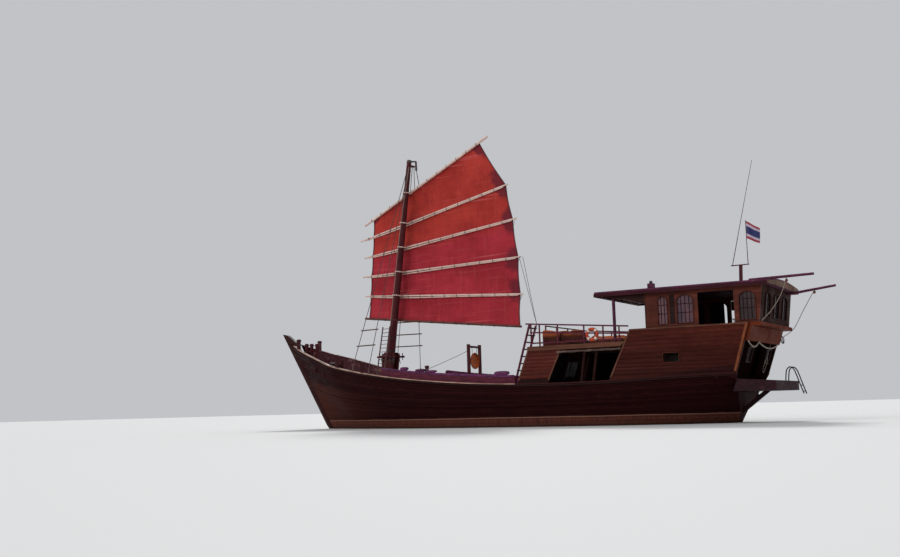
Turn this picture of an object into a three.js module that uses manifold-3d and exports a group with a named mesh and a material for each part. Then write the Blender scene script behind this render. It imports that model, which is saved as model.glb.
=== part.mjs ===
// A Chinese junk: a decked motor sailer with one battened lug sail, a high poop and a wheelhouse.
// x runs forward, y to port and z up. The origin is on the centreline, at the waterline, amidships.
// Lengths are metres; the outer group at the end of the file scales them to millimetres.

import * as THREE from 'three';
import { mergeVertices } from 'three/addons/utils/BufferGeometryUtils.js';
import Module from 'manifold-3d';

const wasm = await Module();
wasm.setup();

// Driving dimensions
const gap = 0.0004; // between pieces that touch
const stemAtWater = 10.55; // x of the stem at the waterline
const stemRake = 0.62; // metres forward for each metre up
const sternAtWater = -10.5; // x of the transom at the waterline
const sternRake = -0.33;
const mainDeck = 1.2; // height of the flat part of the main deck
const upperDeck = 3.34; // top of the upper deck and of the wheelhouse floor
const deckThickness = 0.12;
const wallThickness = 0.07;
const bulwarkThickness = 0.09;
const capHeight = 0.06;
const capOverhang = 0.03;
const keelBottom = -1.95;
const waleHeight = 0.12;
const waleProud = 0.05;
const rakeTan = 0.1388; // the mast leans aft by this much for each metre up
const mastFoot = { x: 6.81, z: 2.99 }; // a point on the mast's axis
const mastTop = 13.15;
const roofFront = -5.45;
const roofBack = -12.53;
const roofUnder = 5.25;
const roofHalf = 2.4;
const roofRise = 0.01; // rise of the roof for each metre forward
const wheelhouseFront = -7.55;
const wheelhouseHalf = 2.2;
const cabinBulkhead = -7.9;
const houseFront = -2.1; // x of the deckhouse front where it meets the bulwark
const houseRake = -0.35; // the front leans aft

// Hull stations from the transom, at 0, to the stem, at 1. The last six are half-breadths.
const stationColumns = [
  'at', 'sheer', 'deck', 'keel', 'wale', 'low', 'bilge', 'water', 'boot', 'side', 'top',
];
const stations = [
  [0.0, 1.96, 1.2, -0.3, 1.1, 0.1, 0.1, 0.14, 0.5, 1.3, 2.25],
  [0.05, 1.94, 1.2, -0.8, 1.06, 0.14, 0.5, 1.15, 1.6, 2.05, 2.5],
  [0.12, 1.9, 1.2, -1.05, 1.01, 0.4, 1.25, 1.95, 2.25, 2.5, 2.74],
  [0.25, 1.81, 1.2, -1.2, 0.95, 0.95, 2.0, 2.6, 2.75, 2.87, 3.0],
  [0.42, 1.85, 1.2, -1.3, 0.92, 1.35, 2.4, 2.88, 2.98, 3.06, 3.15],
  [0.58, 2.1, 1.2, -1.3, 0.97, 1.2, 2.25, 2.8, 2.93, 3.03, 3.18],
  [0.72, 2.5, 1.5, -1.25, 1.12, 0.8, 1.65, 2.3, 2.5, 2.68, 2.92],
  [0.84, 3.05, 2.15, -1.15, 1.38, 0.38, 0.95, 1.5, 1.72, 1.95, 2.32],
  [0.9, 3.6, 2.7, -1.0, 1.6, 0.2, 0.52, 0.92, 1.1, 1.32, 1.72],
  [0.95, 4.05, 3.2, -0.85, 1.85, 0.12, 0.25, 0.42, 0.52, 0.66, 0.98],
  [1.0, 4.75, 3.9, -0.55, 2.2, 0.08, 0.08, 0.08, 0.09, 0.1, 0.12],
].map((row) => Object.fromEntries(row.map((value, i) => [stationColumns[i], value])));
const stationCount = 34;
const bootTop = 0.5; // height of the painted band above the waterline

const colours = {
  hull: 0x2a1512, keel: 0x24120f, bulwark: 0x35181a, house: 0x5a2a1c, poop: 0x60301f,
  deck: 0x6b4a34, roof: 0x54233a, rail: 0x43192a, mast: 0x3a1a1c, sail: 0xb02c2c,
  spar: 0xc9b0a6, rope: 0x8d8478, iron: 0x33302f, bronze: 0xb05a22, seat: 0xa85a28,
  white: 0xd9d2cc, flag: 0xc03040,
};

// Geometry helpers

function toSolid(geometry) {
  const bare = geometry.clone();
  bare.deleteAttribute('normal');
  bare.deleteAttribute('uv');
  const merged = mergeVertices(bare, 1e-6);
  return new wasm.Manifold(new wasm.Mesh({
    numProp: 3,
    vertProperties: new Float32Array(merged.attributes.position.array),
    triVerts: new Uint32Array(merged.index.array),
  }));
}

function toGeometry(solid) {
  const mesh = solid.getMesh();
  const geometry = new THREE.BufferGeometry();
  geometry.setAttribute('position', new THREE.BufferAttribute(mesh.vertProperties, 3));
  geometry.setIndex(new THREE.BufferAttribute(mesh.triVerts, 1));
  return geometry;
}

const fuse = (...pieces) => toGeometry(pieces.flat().map(toSolid).reduce((a, b) => a.add(b)));

// The piece less its tools. Offcuts fall away: only the largest body is kept.
function cut(piece, ...tools) {
  const rest = tools.flat().map(toSolid).reduce((a, b) => a.subtract(b), toSolid(piece));
  const bodies = rest.decompose();
  return toGeometry(bodies.reduce((a, b) => (b.volume() > a.volume() ? b : a)));
}

const moved = (geometry, x, y, z) => geometry.clone().translate(x, y, z);

// The piece trimmed to fit its neighbours, with the usual gap all round.
const gapWays = [
  [0, 0, 0], [0, 0, gap], [0, 0, -gap], [gap, 0, 0], [-gap, 0, 0], [0, gap, 0], [0, -gap, 0],
];
const fitTo = (piece, ...others) => cut(
  piece, others.flat().flatMap((other) => gapWays.map((way) => moved(other, ...way))),
);

function box(x0, x1, y0, y1, z0, z1) {
  const geometry = new THREE.BoxGeometry(Math.abs(x1 - x0), Math.abs(y1 - y0), Math.abs(z1 - z0));
  return geometry.translate((x0 + x1) / 2, (y0 + y1) / 2, (z0 + z1) / 2);
}

// A frame whose local z runs from a to b.
function along(a, b) {
  const from = new THREE.Vector3(...a);
  const direction = new THREE.Vector3(...b).sub(from);
  const length = direction.length();
  const side = Math.abs(direction.y) > 0.9 * length
    ? new THREE.Vector3(1, 0, 0) : new THREE.Vector3(0, 1, 0);
  const zAxis = direction.clone().normalize();
  const xAxis = side.clone().cross(zAxis).normalize();
  const yAxis = zAxis.clone().cross(xAxis);
  const matrix = new THREE.Matrix4().makeBasis(xAxis, yAxis, zAxis).setPosition(from);
  return { matrix, length };
}

// A square timber from a to b; across is its width along y and deep its other width.
function beam(a, b, across, deep = across) {
  const { matrix, length } = along(a, b);
  return new THREE.BoxGeometry(deep, across, length).translate(0, 0, length / 2).applyMatrix4(matrix);
}

// A round spar or wire from a to b.
function rod(a, b, radius, endRadius = radius, sides = 12) {
  const { matrix, length } = along(a, b);
  const geometry = new THREE.CylinderGeometry(endRadius, radius, length, sides);
  return geometry.rotateX(Math.PI / 2).translate(0, 0, length / 2).applyMatrix4(matrix);
}

// An outline in the x, z plane carried along y from y0 to y1, with holes of the same kind.
function plate(outline, y0, y1, holes = []) {
  const extrude = (points, low, high) => {
    const shape = new THREE.Shape(points.map(([x, z]) => new THREE.Vector2(x, z)));
    const geometry = new THREE.ExtrudeGeometry(shape, { depth: high - low, bevelEnabled: false });
    return geometry.rotateX(Math.PI / 2).translate(0, high, 0);
  };
  const [low, high] = [Math.min(y0, y1), Math.max(y0, y1)];
  const solid = extrude(outline, low, high);
  return holes.length ? cut(solid, holes.map((hole) => extrude(hole, low - 0.1, high + 0.1))) : solid;
}

const mirrored = (geometry) => {
  const copy = geometry.index ? geometry.clone() : mergeVertices(geometry.clone(), 1e-6);
  copy.scale(1, -1, 1);
  const index = copy.index.array;
  for (let i = 0; i < index.length; i += 3) {
    [index[i], index[i + 1]] = [index[i + 1], index[i]];
  }
  return copy;
};

// A closed solid through rings of points. Each ring's first half mirrors its second half,
// so an end is closed by a strip between them.
function loft(rings) {
  const count = rings[0].length;
  const positions = new Float32Array(rings.flat(2));
  const index = [];
  const quad = (a, b, c, d) => index.push(a, b, c, a, c, d);
  for (let r = 0; r + 1 < rings.length; r += 1) {
    for (let i = 0; i < count; i += 1) {
      const j = (i + 1) % count;
      quad(r * count + i, r * count + j, (r + 1) * count + j, (r + 1) * count + i);
    }
  }
  for (const [r, flip] of [[0, true], [rings.length - 1, false]]) {
    for (let i = 0; i < count / 2 - 1; i += 1) {
      const strip = [i, i + 1, count - 2 - i, count - 1 - i].map((k) => r * count + k);
      quad(...(flip ? strip.reverse() : strip));
    }
  }
  const geometry = new THREE.BufferGeometry();
  geometry.setAttribute('position', new THREE.BufferAttribute(positions, 3));
  geometry.setIndex(index);
  return pointedOut(geometry);
}

function pointedOut(geometry) {
  const p = geometry.attributes.position;
  const index = geometry.index.array;
  const [a, b, c] = [new THREE.Vector3(), new THREE.Vector3(), new THREE.Vector3()];
  let volume = 0;
  for (let i = 0; i < index.length; i += 3) {
    a.fromBufferAttribute(p, index[i]);
    b.fromBufferAttribute(p, index[i + 1]);
    c.fromBufferAttribute(p, index[i + 2]);
    volume += a.dot(b.cross(c));
  }
  if (volume < 0) {
    for (let i = 0; i < index.length; i += 3) {
      [index[i], index[i + 1]] = [index[i + 1], index[i]];
    }
  }
  return geometry;
}

// Value at x in a table of [x, value] pairs that rises in x, held level past its ends.
function follow(table, x) {
  const last = table[table.length - 1];
  if (x <= table[0][0]) return table[0][1];
  if (x >= last[0]) return last[1];
  const i = table.findIndex(([at]) => at > x);
  const [[x0, v0], [x1, v1]] = [table[i - 1], table[i]];
  return v0 + (v1 - v0) * (x - x0) / (x1 - x0);
}

// The scene graph

const ship = new THREE.Group();

function add(name, geometry, colour, { rough = 0.75, metal = 0 } = {}, group = ship) {
  const material = new THREE.MeshStandardMaterial({ color: colour, roughness: rough, metalness: metal });
  geometry.computeVertexNormals();
  const mesh = new THREE.Mesh(geometry, material);
  mesh.name = name;
  group.add(mesh);
  return mesh;
}

const addPair = (name, port, colour, look, group) => {
  add(`${name}_port`, port, colour, look, group);
  add(`${name}_starboard`, mirrored(port), colour, look, group);
};

// Hull

// A smooth curve through a column of the station table.
function columnAt(name, s) {
  const last = stations.length - 1;
  let i = stations.findIndex((row) => row.at > s) - 1;
  if (i < 0) i = last - 1;
  const [a, b] = [stations[i], stations[i + 1]];
  const slope = (k) => {
    const [before, after] = [stations[Math.max(k - 1, 0)], stations[Math.min(k + 1, last)]];
    return (after[name] - before[name]) / (after.at - before.at);
  };
  const width = b.at - a.at;
  const t = (s - a.at) / width;
  return a[name] * (2 * t ** 3 - 3 * t ** 2 + 1) + slope(i) * width * (t ** 3 - 2 * t ** 2 + t)
    + b[name] * (3 * t ** 2 - 2 * t ** 3) + slope(i + 1) * width * (t ** 3 - t ** 2);
}

const deckHeight = stations.map((row) => [row.at, row.deck]); // straight runs, so the waist stays level
const stationAt = (s) => Object.fromEntries(
  stationColumns.map((c) => [c, c === 'deck' ? follow(deckHeight, s) : columnAt(c, s)]),
);

// A point of the hull at station s and height z, moved out by proud.
function hullPoint(row, z, halfBreadth, side = 1) {
  const stern = sternAtWater + sternRake * z;
  const stem = stemAtWater + stemRake * z;
  return [stern + (stem - stern) * row.at, side * halfBreadth, z];
}

function halfBreadthAt(row, z) {
  return follow([
    [row.keel, 0.08], [row.keel * 0.72, row.low], [row.keel * 0.35, row.bilge], [0, row.water],
    [bootTop, row.boot], [row.wale, row.side], [row.sheer, row.top],
  ], z);
}

const fineStations = Array.from({ length: stationCount }, (_, i) => {
  const s = i / (stationCount - 1);
  return stationAt(s);
});

// Pairs [x, value] along the sheer, for what stands on the bulwark.
const sheerLine = fineStations.map((row) => [hullPoint(row, row.sheer, 0)[0], row.sheer]);
const sheerBreadth = fineStations.map((row) => [hullPoint(row, row.sheer, 0)[0], row.top]);
const deckLine = fineStations.map((row) => [hullPoint(row, row.deck, 0)[0], row.deck]);
const deckBreadth = fineStations.map(
  (row) => [hullPoint(row, row.deck, 0)[0], halfBreadthAt(row, row.deck)],
);

function hullShell() {
  const rings = fineStations.map((row) => {
    const flush = [
      row.keel, row.keel * 0.72, row.keel * 0.35, 0, bootTop, row.wale - waleHeight / 2,
    ].map((z) => [z, halfBreadthAt(row, z)]);
    const wale = [row.wale - waleHeight / 2, row.wale + waleHeight / 2].map(
      (z) => [z, halfBreadthAt(row, z) + waleProud],
    );
    const above = [row.wale + waleHeight / 2, row.deck].map((z) => [z, halfBreadthAt(row, z)]);
    const half = [...flush, ...wale, ...above];
    const side = (sign) => half.map(([z, y]) => hullPoint(row, z, y, sign));
    return [...side(1), ...side(-1).reverse()];
  });
  return loft(rings);
}

const rudderStock = { x: -9.98, radius: 0.05, top: -0.72 };
const hull = fuse(
  hullShell(),
  rod([rudderStock.x, 0, rudderStock.top], [rudderStock.x, 0, -0.35], 0.1),
);
add('hull', hull, colours.hull);

// Keel, stem post and the heel that carries the rudder, in one outline
const heelTop = -1.85;
const apertureFront = -8.95;
const keelOutline = [
  [13.78, 5.02], [13.45, 4.95], [12.9, 4.55], [10.2, 0.4], [8, -0.6], [-8.6, -0.6],
  [apertureFront, -0.75], [apertureFront, heelTop], [-10.2, heelTop], [-10.2, keelBottom],
  [8.0, keelBottom], [8.9, -1.8], [9.6, -1.35], [10.15, -0.55], [10.8, 0.18],
];
const keelHalf = 0.1;
add('keel_and_stem', fitTo(plate(keelOutline, -keelHalf, keelHalf), hull), colours.keel);

// Bulwarks, with their cap rails and the timberheads that stand on them

const timberheads = [ // x along the rail, height of the top
  [12.02, 4.62], [8.26, 3.58], [6.44, 3.1],
];
const timberheadWidth = 0.14;

function bulwarkRail() {
  const rings = fineStations.slice(0, -1).map((row) => {
    const outerFoot = halfBreadthAt(row, row.deck);
    const capUnder = row.sheer - capHeight;
    const innerTop = Math.max(row.top - bulwarkThickness, 0.02);
    const innerFoot = Math.max(outerFoot - bulwarkThickness, 0.02);
    const capIn = Math.max(innerTop - capOverhang, 0.01);
    return [
      [row.deck + gap, outerFoot], [capUnder, row.top], [capUnder, row.top + capOverhang],
      [row.sheer, row.top + capOverhang], [row.sheer, capIn], [capUnder, capIn],
      [capUnder, innerTop], [row.deck + gap, innerFoot],
    ].map(([z, y]) => hullPoint(row, z, y));
  });
  return loft(rings);
}

function timberhead([x, top]) {
  const y = follow(sheerBreadth, x) - bulwarkThickness / 2;
  const half = timberheadWidth / 2;
  const foot = follow(sheerLine, x) - capHeight / 2;
  return fuse(
    box(x - half, x + half, y - half, y + half, foot, top),
    box(x - half - 0.02, x + half + 0.02, y - half - 0.02, y + half + 0.02, top - 0.1, top - 0.04),
  );
}

const stemKnife = plate(keelOutline, -keelHalf - gap, keelHalf + gap);
const bulwark = cut(fuse(bulwarkRail(), timberheads.map(timberhead)), stemKnife);
addPair('bulwark', bulwark, colours.bulwark);
const bulwarkStarboard = mirrored(bulwark);

// Long seats down both sides of the main deck, their backs above the rail

const sideBench = {
  aft: -1.88, fore: 5.3, backAbove: 0.3, backThick: 0.07, seatHigh: 0.45, deep: 0.5, steps: 16,
};

// Back and seat are two lofts that overlap, so together they make an L.
function sideBenchSolid() {
  const inset = bulwarkThickness + capOverhang + 0.04;
  const sections = Array.from({ length: sideBench.steps + 1 }, (_, i) => {
    const x = sideBench.aft + (sideBench.fore - sideBench.aft) * i / sideBench.steps;
    const low = follow(deckLine, x);
    const high = follow(sheerLine, x);
    const [outerLow, outerHigh] = [follow(deckBreadth, x) - inset, follow(sheerBreadth, x) - inset];
    const seat = low + sideBench.seatHigh;
    const top = high + sideBench.backAbove;
    const back = [
      [outerLow, low - 0.1], [outerHigh, high], [outerHigh, top], [outerHigh - sideBench.backThick, top],
      [outerHigh - sideBench.backThick, high], [outerLow - sideBench.backThick, low - 0.1],
    ];
    const box = [
      [outerLow - 0.01, low - 0.1], [outerLow - 0.01, seat],
      [outerLow - sideBench.deep, seat], [outerLow - sideBench.deep, low - 0.1],
    ];
    return [back, box].map((ring) => ring.map(([y, z]) => [x, y, z]));
  });
  return fuse(loft(sections.map(([back]) => back)), loft(sections.map(([, box]) => box)));
}

addPair('side_bench', fitTo(sideBenchSolid(), hull), colours.seat);

// Deckhouse and poop: side walls that rise from the bulwark

const wallTop = [ // x, half-breadth of the walls at the poop rail
  [-11.8, 2.37], [-10.5, 2.5], [-9, 2.66], [-6.5, 2.86], [-2.2, 2.98],
];
const poopTop = 3.82;
const transomThick = 0.08;
const transomInset = 0.012; // forward of the ends of the side walls
const headerUnder = 3.06;
const poopFront = (z) => -6.2 - 0.46 * (z - 1.87);
const sternPlane = (z) => sternAtWater + sternRake * z;
const houseFrontAt = (z) => houseFront + houseRake * (z - 1.89);
const openingFront = (z) => -3.55 - 0.44 * (z - 1.88);

function wallOuter(x, z) {
  const low = follow(sheerLine, x);
  const t = (z - low) / (poopTop - low);
  return follow(sheerBreadth, x) * (1 - t) + follow(wallTop, x) * t;
}

// A curved wall between a fore and an aft edge that both depend on height.
function sideWall(aft, fore, bottom, top, steps) {
  const rings = Array.from({ length: steps + 1 }, (_, i) => {
    const t = i / steps;
    const xAt = (z) => aft(z) + (fore(z) - aft(z)) * t;
    const low = bottom(xAt(1.9));
    const high = top(xAt(3));
    return [
      [low, 0], [high, 0], [high, wallThickness], [low, wallThickness],
    ].map(([z, inset]) => [xAt(z), wallOuter(xAt(z), z) - inset, z]);
  });
  return loft(rings);
}

const railBottom = (x) => follow(sheerLine, x) - capHeight / 2;
const deckUnder = upperDeck - deckThickness;
const saloonTop = () => deckUnder - gap;
const saloonPosts = [-4.98, -5.5];

function saloonSide() {
  const panel = sideWall(openingFront, houseFrontAt, railBottom, saloonTop, 4);
  const header = sideWall((z) => poopFront(z) + gap * 2, (z) => openingFront(z) + 0.1, () => headerUnder, saloonTop, 6);
  const posts = saloonPosts.map((x) => {
    const outer = wallOuter(x, 2.5);
    return beam(
      [x, wallOuter(x, 1.9) - 0.04, railBottom(x)],
      [x - 0.2, outer - 0.06, headerUnder + 0.05], 0.09, 0.1,
    );
  });
  return fitTo(fuse(panel, header, posts), bulwark);
}

const cabinWindow = { aft: -9.05, fore: -8.41, low: 2.42, high: 2.8 };

function poopSide() {
  const wall = sideWall(sternPlane, poopFront, railBottom, () => poopTop, 12);
  const hole = box(cabinWindow.aft, cabinWindow.fore, 2, 3.2, cabinWindow.low, cabinWindow.high);
  return fitTo(cut(wall, hole), bulwark);
}

const poopWall = poopSide();
addPair('saloon_side', saloonSide(), colours.house);
addPair('poop_side', poopWall, colours.poop);
const poopWallStarboard = mirrored(poopWall);
const sides = [bulwark, bulwarkStarboard, poopWall, poopWallStarboard];

// A plate across the ship: an outline of [y, z] points, thick along x, leaning by rake.
function crossPlate(outline, x, thickness, rake, holes = []) {
  const extrude = (points, from, depth) => {
    const shape = new THREE.Shape(points.map(([y, z]) => new THREE.Vector2(y, z)));
    const geometry = new THREE.ExtrudeGeometry(shape, { depth, bevelEnabled: false });
    const p = geometry.attributes.position;
    for (let i = 0; i < p.count; i += 1) {
      const [y, z, along] = [p.getX(i), p.getY(i), p.getZ(i)];
      p.setXYZ(i, from + rake * z + along, y, z);
    }
    return geometry;
  };
  const solid = extrude(outline, x, thickness);
  if (!holes.length) return solid;
  return cut(solid, holes.map((hole) => extrude(hole, x - 0.1, thickness + 0.2)));
}

const rectangle = (y0, y1, z0, z1) => [[y0, z0], [y1, z0], [y1, z1], [y0, z1]];

// A window outline with a round head, as [across, height] points.
function archedWindow(a0, a1, low, high) {
  const middle = (a0 + a1) / 2;
  const half = Math.abs(a1 - a0) / 2;
  const rise = Math.min(half, 0.22);
  const arc = Array.from({ length: 9 }, (_, i) => {
    const angle = Math.PI * i / 8;
    return [middle + half * Math.cos(angle), high - rise + rise * Math.sin(angle)];
  });
  return [[middle - half, low], [middle + half, low], ...arc];
}

// Saloon front, with a doorway and two windows
const frontHalf = 2.86;
const frontDoor = rectangle(-0.45, 0.45, mainDeck + 0.12, 3.0);
add('saloon_front', crossPlate(
  rectangle(-frontHalf, frontHalf, mainDeck + gap, deckUnder - gap),
  houseFront - houseRake * 1.89 - 0.1, 0.06, houseRake,
  [frontDoor, rectangle(-2.2, -1.0, 2.0, 2.85), rectangle(1.0, 2.2, 2.0, 2.85)],
), colours.house);

// Bulkhead between saloon and aft cabin, and its door
const doorway = { half: 0.4, low: mainDeck + 0.1, high: 3.0 };
const bulkheadHalf = 2.8;
add('cabin_bulkhead', fitTo(crossPlate(
  rectangle(-bulkheadHalf, bulkheadHalf, mainDeck + gap, deckUnder - gap),
  cabinBulkhead, 0.06, 0, [rectangle(-doorway.half, doorway.half, doorway.low, doorway.high)],
), sides), colours.house);
const doorClearance = 0.008;
const doorHinge = { x: cabinBulkhead + 0.012, y: doorway.half - doorClearance, radius: 0.007 };
add('cabin_door', fuse(
  box(
    doorHinge.x, doorHinge.x + 0.044, -doorway.half + doorClearance,
    doorHinge.y, doorway.low + doorClearance, doorway.high - doorClearance,
  ),
  rod([doorHinge.x, doorHinge.y, doorway.low + gap], [doorHinge.x, doorHinge.y, 1.5], doorHinge.radius),
), colours.poop);

// Upper deck over the saloon, and the poop deck behind it
const deckStep = -6.8; // where the two decks meet
const deckEdge = (x) => wallOuter(x, upperDeck);

function deckSlab(aft, fore, halfAt, steps) {
  const rings = Array.from({ length: steps + 1 }, (_, i) => {
    const x = aft + (fore - aft) * i / steps;
    const half = halfAt(x);
    return [
      [half, deckUnder], [half, upperDeck], [-half, upperDeck], [-half, deckUnder],
    ].map(([y, z]) => [x, y, z]);
  });
  return loft(rings);
}

const houseFrontTop = houseFrontAt(upperDeck);
add('upper_deck', deckSlab(deckStep, houseFrontTop + 0.06, (x) => deckEdge(x) + 0.02, 5), colours.deck);
add('poop_deck', fitTo(
  deckSlab(sternPlane(deckUnder) + transomInset + transomThick + gap, deckStep - gap, (x) => deckEdge(x) - 0.03, 10),
  poopWall, poopWallStarboard,
), colours.deck);

// Transom above the deck, with a doorway to the platform and two small windows
const transomEdge = [[mainDeck + gap, -0.05], [1.96, -0.05], [2.2, -0.04], [poopTop, -0.04]].map(
  ([z, inset]) => {
    const below = z < 1.96;
    const breadth = below ? halfBreadthAt(stations[0], z) : wallOuter(sternPlane(z), z);
    return [breadth + inset, z];
  },
);
const transomOutline = [
  ...transomEdge, ...transomEdge.map(([y, z]) => [-y, z]).reverse(),
];
const transomHoles = [
  rectangle(-0.42, 0.42, 1.78, 3.0), rectangle(0.95, 1.6, 2.35, 2.9), rectangle(-1.6, -0.95, 2.35, 2.9),
];
add('transom', fitTo(
  crossPlate(transomOutline, sternAtWater + transomInset, transomThick, sternRake, transomHoles), sides,
), colours.house);

// Boxed gallery across the stern, under the back of the wheelhouse
const gallery = {
  low: 3.13, half: 2.3, backLow: -11.64, backHigh: -11.82, shelfUnder: 3.68, shelfBack: -12.2,
};
add('stern_gallery', plate([
  [sternPlane(gallery.low) - gap, gallery.low], [gallery.backLow, gallery.low],
  [gallery.backHigh, gallery.shelfUnder], [gallery.shelfBack, gallery.shelfUnder],
  [gallery.shelfBack, poopTop], [sternPlane(poopTop) - gap, poopTop],
], -gallery.half, gallery.half), colours.poop);

// Wheelhouse

const roofUnderAt = (x) => roofUnder + roofRise * (x - roofBack);
const wheelhouseBack = { low: -12.1, high: -12.28 };
const wheelhouseWindows = [ // aft x, fore x, sill, head
  [-8.5, -8.1, 3.96, 5.08], [-9.56, -8.89, 3.96, 5.08], [-12.0, -11.37, 3.92, 5.02],
];
const helmOpening = { aft: -11.17, fore: -9.75, low: 3.84, high: 5.12 };
const bracketFoot = 4.86;

function wheelhouseSide() {
  const bracket = Array.from({ length: 7 }, (_, i) => { // a curved knee under the front of the roof
    const t = i / 6;
    const x = wheelhouseFront + (roofFront - 0.2 - wheelhouseFront) * t;
    return [x, bracketFoot + (roofUnderAt(x) - 0.03 - bracketFoot) * t ** 0.8];
  });
  const tip = roofFront - 0.2;
  const outline = [
    [wheelhouseFront, upperDeck + gap], ...bracket, [tip, roofUnderAt(tip) - gap],
    [wheelhouseBack.high, roofUnderAt(wheelhouseBack.high) - gap],
    [wheelhouseBack.low, poopTop + gap], [-11.45, poopTop + gap], [-11.45, upperDeck + gap],
  ];
  const holes = wheelhouseWindows.map(([aft, fore, low, high]) => archedWindow(aft, fore, low, high));
  holes.push([
    [helmOpening.aft, helmOpening.low], [helmOpening.fore, helmOpening.low],
    [helmOpening.fore, helmOpening.high], [helmOpening.aft, helmOpening.high],
  ]);
  return plate(outline, wheelhouseHalf - 0.06, wheelhouseHalf, holes);
}

addPair('wheelhouse_side', mergeVertices(wheelhouseSide(), 1e-6), colours.house);

const frontInner = wheelhouseHalf - 0.06 - gap;
add('wheelhouse_front', crossPlate(
  rectangle(-frontInner, frontInner, upperDeck + gap, roofUnderAt(wheelhouseFront - 0.06) - gap),
  wheelhouseFront - 0.06, 0.06, 0,
  [
    rectangle(-0.42, 0.42, upperDeck + 0.06, 5.0),
    ...[[-1.95, -1.35], [-1.15, -0.65], [0.65, 1.15], [1.35, 1.95]].map(
      ([y0, y1]) => archedWindow(y0, y1, 4.0, 5.0),
    ),
  ],
), colours.house);

// Roof: a cambered slab with deep eaves
const eaves = [[roofHalf, 0], [roofHalf, 0.15], [1.6, 0.23], [0.8, 0.29], [0, 0.31]];
function roofSolid() {
  const section = [...eaves, ...eaves.slice(0, -1).reverse().map(([y, z]) => [-y, z])];
  const rings = [roofBack, roofFront].map((x) => section.map(
    ([y, z]) => [x, y, roofUnderAt(x) + z],
  ));
  return rings;
}

function roofLoft([back, front]) {
  const shape = new THREE.Shape(back.map(([, y, z]) => new THREE.Vector2(y, z)));
  const geometry = new THREE.ExtrudeGeometry(shape, { depth: 1, bevelEnabled: false, steps: 1 });
  const solid = mergeVertices(geometry.deleteAttribute('normal').deleteAttribute('uv'), 1e-6);
  const p = solid.attributes.position;
  const rise = front[0][2] - back[0][2];
  for (let i = 0; i < p.count; i += 1) {
    const [y, z, t] = [p.getX(i), p.getY(i), p.getZ(i)];
    p.setXYZ(i, roofBack + (roofFront - roofBack) * t, y, z + rise * t);
  }
  return solid;
}

// The poles that reach out over the stern: one lies on the roof, the other is fixed under it.
const poles = [ // y, fore x, height, aft x, height
  [1.8, -11.7, 5.475, -14.12, 5.5],
  [-1.8, -12.0, 5.15, -14.15, 5.385],
];
const canopyPost = { x: -6.15, y: 2.06, half: 0.05 };
const roofLamp = { aft: -7.15, fore: -6.9, half: 0.13, top: 5.92 };

function roofWithFittings() {
  const posts = [canopyPost.y, -canopyPost.y].map((y) => box(
    canopyPost.x - canopyPost.half, canopyPost.x + canopyPost.half,
    y - canopyPost.half, y + canopyPost.half, upperDeck + gap, roofUnder + 0.1,
  ));
  const lamp = box(
    roofLamp.aft, roofLamp.fore, -roofLamp.half, roofLamp.half, roofUnder + 0.2, roofLamp.top,
  );
  const spars = poles.map(([y, x0, z0, x1, z1]) => rod([x0, y, z0], [x1, y, z1], 0.06, 0.05, 10));
  return fuse(roofLoft(roofSolid()), posts, lamp, spars);
}

const roof = roofWithFittings();
add('roof', roof, colours.roof);

// The wheelhouse's back wall, notched for the pole that passes through it
const backRake = (wheelhouseBack.high - wheelhouseBack.low) / (roofUnder - poopTop);
add('wheelhouse_stern', fitTo(crossPlate(
  rectangle(-frontInner, frontInner, poopTop + gap, roofUnderAt(wheelhouseBack.high) - gap),
  wheelhouseBack.low - backRake * poopTop, 0.06, backRake,
  [[-1.6, -0.9], [-0.35, 0.35], [0.9, 1.6]].map(([y0, y1]) => archedWindow(y0, y1, 4.05, 5.0)),
), roof), colours.house);

// Rails round the upper deck; each line is fore x, its height, aft x, its height
const railLines = [[-2.4, 4.34, -7.05, 3.95], [-2.6, 3.96, -7.0, 3.66], [-2.6, 3.5, -6.75, 3.46]];
const railPosts = [-2.65, -3.05, -3.9, -5.1, -5.95, -6.65];
const railY = 2.8;
const railSize = 0.05;

function sideRail() {
  const bars = railLines.map(([x0, z0, x1, z1]) => beam([x0, railY, z0], [x1, railY, z1], railSize, 0.06));
  const [x0, z0, x1, z1] = railLines[0];
  const posts = railPosts.map((x) => {
    const top = z0 + (z1 - z0) * (x - x0) / (x1 - x0);
    const half = railSize / 2;
    return box(x - half, x + half, railY - half, railY + half, upperDeck + gap, top);
  });
  return fitTo(fuse(bars, posts), poopWall);
}

addPair('side_rail', sideRail(), colours.rail);

const frontRail = { x: -2.72, port: 1.6, starboard: -2.74, top: 4.3, mid: 3.92, low: 3.48 };
add('front_rail', fuse(
  [frontRail.top, frontRail.mid, frontRail.low].map((z) => beam(
    [frontRail.x, frontRail.starboard, z], [frontRail.x, frontRail.port, z], railSize, 0.05,
  )),
  [frontRail.starboard + 0.03, -1.7, -0.6, 0.5, frontRail.port - 0.03].map((y) => box(
    frontRail.x - 0.025, frontRail.x + 0.025, y - 0.025, y + 0.025, upperDeck + gap, frontRail.top + 0.02,
  )),
), colours.rail);

// Steep stair from the main deck to the upper deck
const stair = { footX: -1.36, topX: -2.36, top: 4.34, port: 2.38, starboard: 1.78, step: 0.3 };
function stairSolid() {
  const lean = (z) => stair.footX + (stair.topX - stair.footX) * (z - mainDeck) / (stair.top - mainDeck);
  const stringer = (y) => plate([
    [lean(mainDeck) - 0.04, mainDeck + gap], [lean(mainDeck) + 0.04, mainDeck + gap],
    [lean(stair.top) + 0.04, stair.top], [lean(stair.top) - 0.04, stair.top],
  ], y - 0.03, y + 0.03);
  const treads = [];
  for (let z = mainDeck + stair.step; z < stair.top; z += stair.step) {
    treads.push(box(lean(z) - 0.09, lean(z) + 0.07, stair.starboard, stair.port, z - 0.02, z + 0.02));
  }
  return fuse(stringer(stair.port), stringer(stair.starboard), treads);
}
add('stair', stairSolid(), colours.rail);

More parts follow.
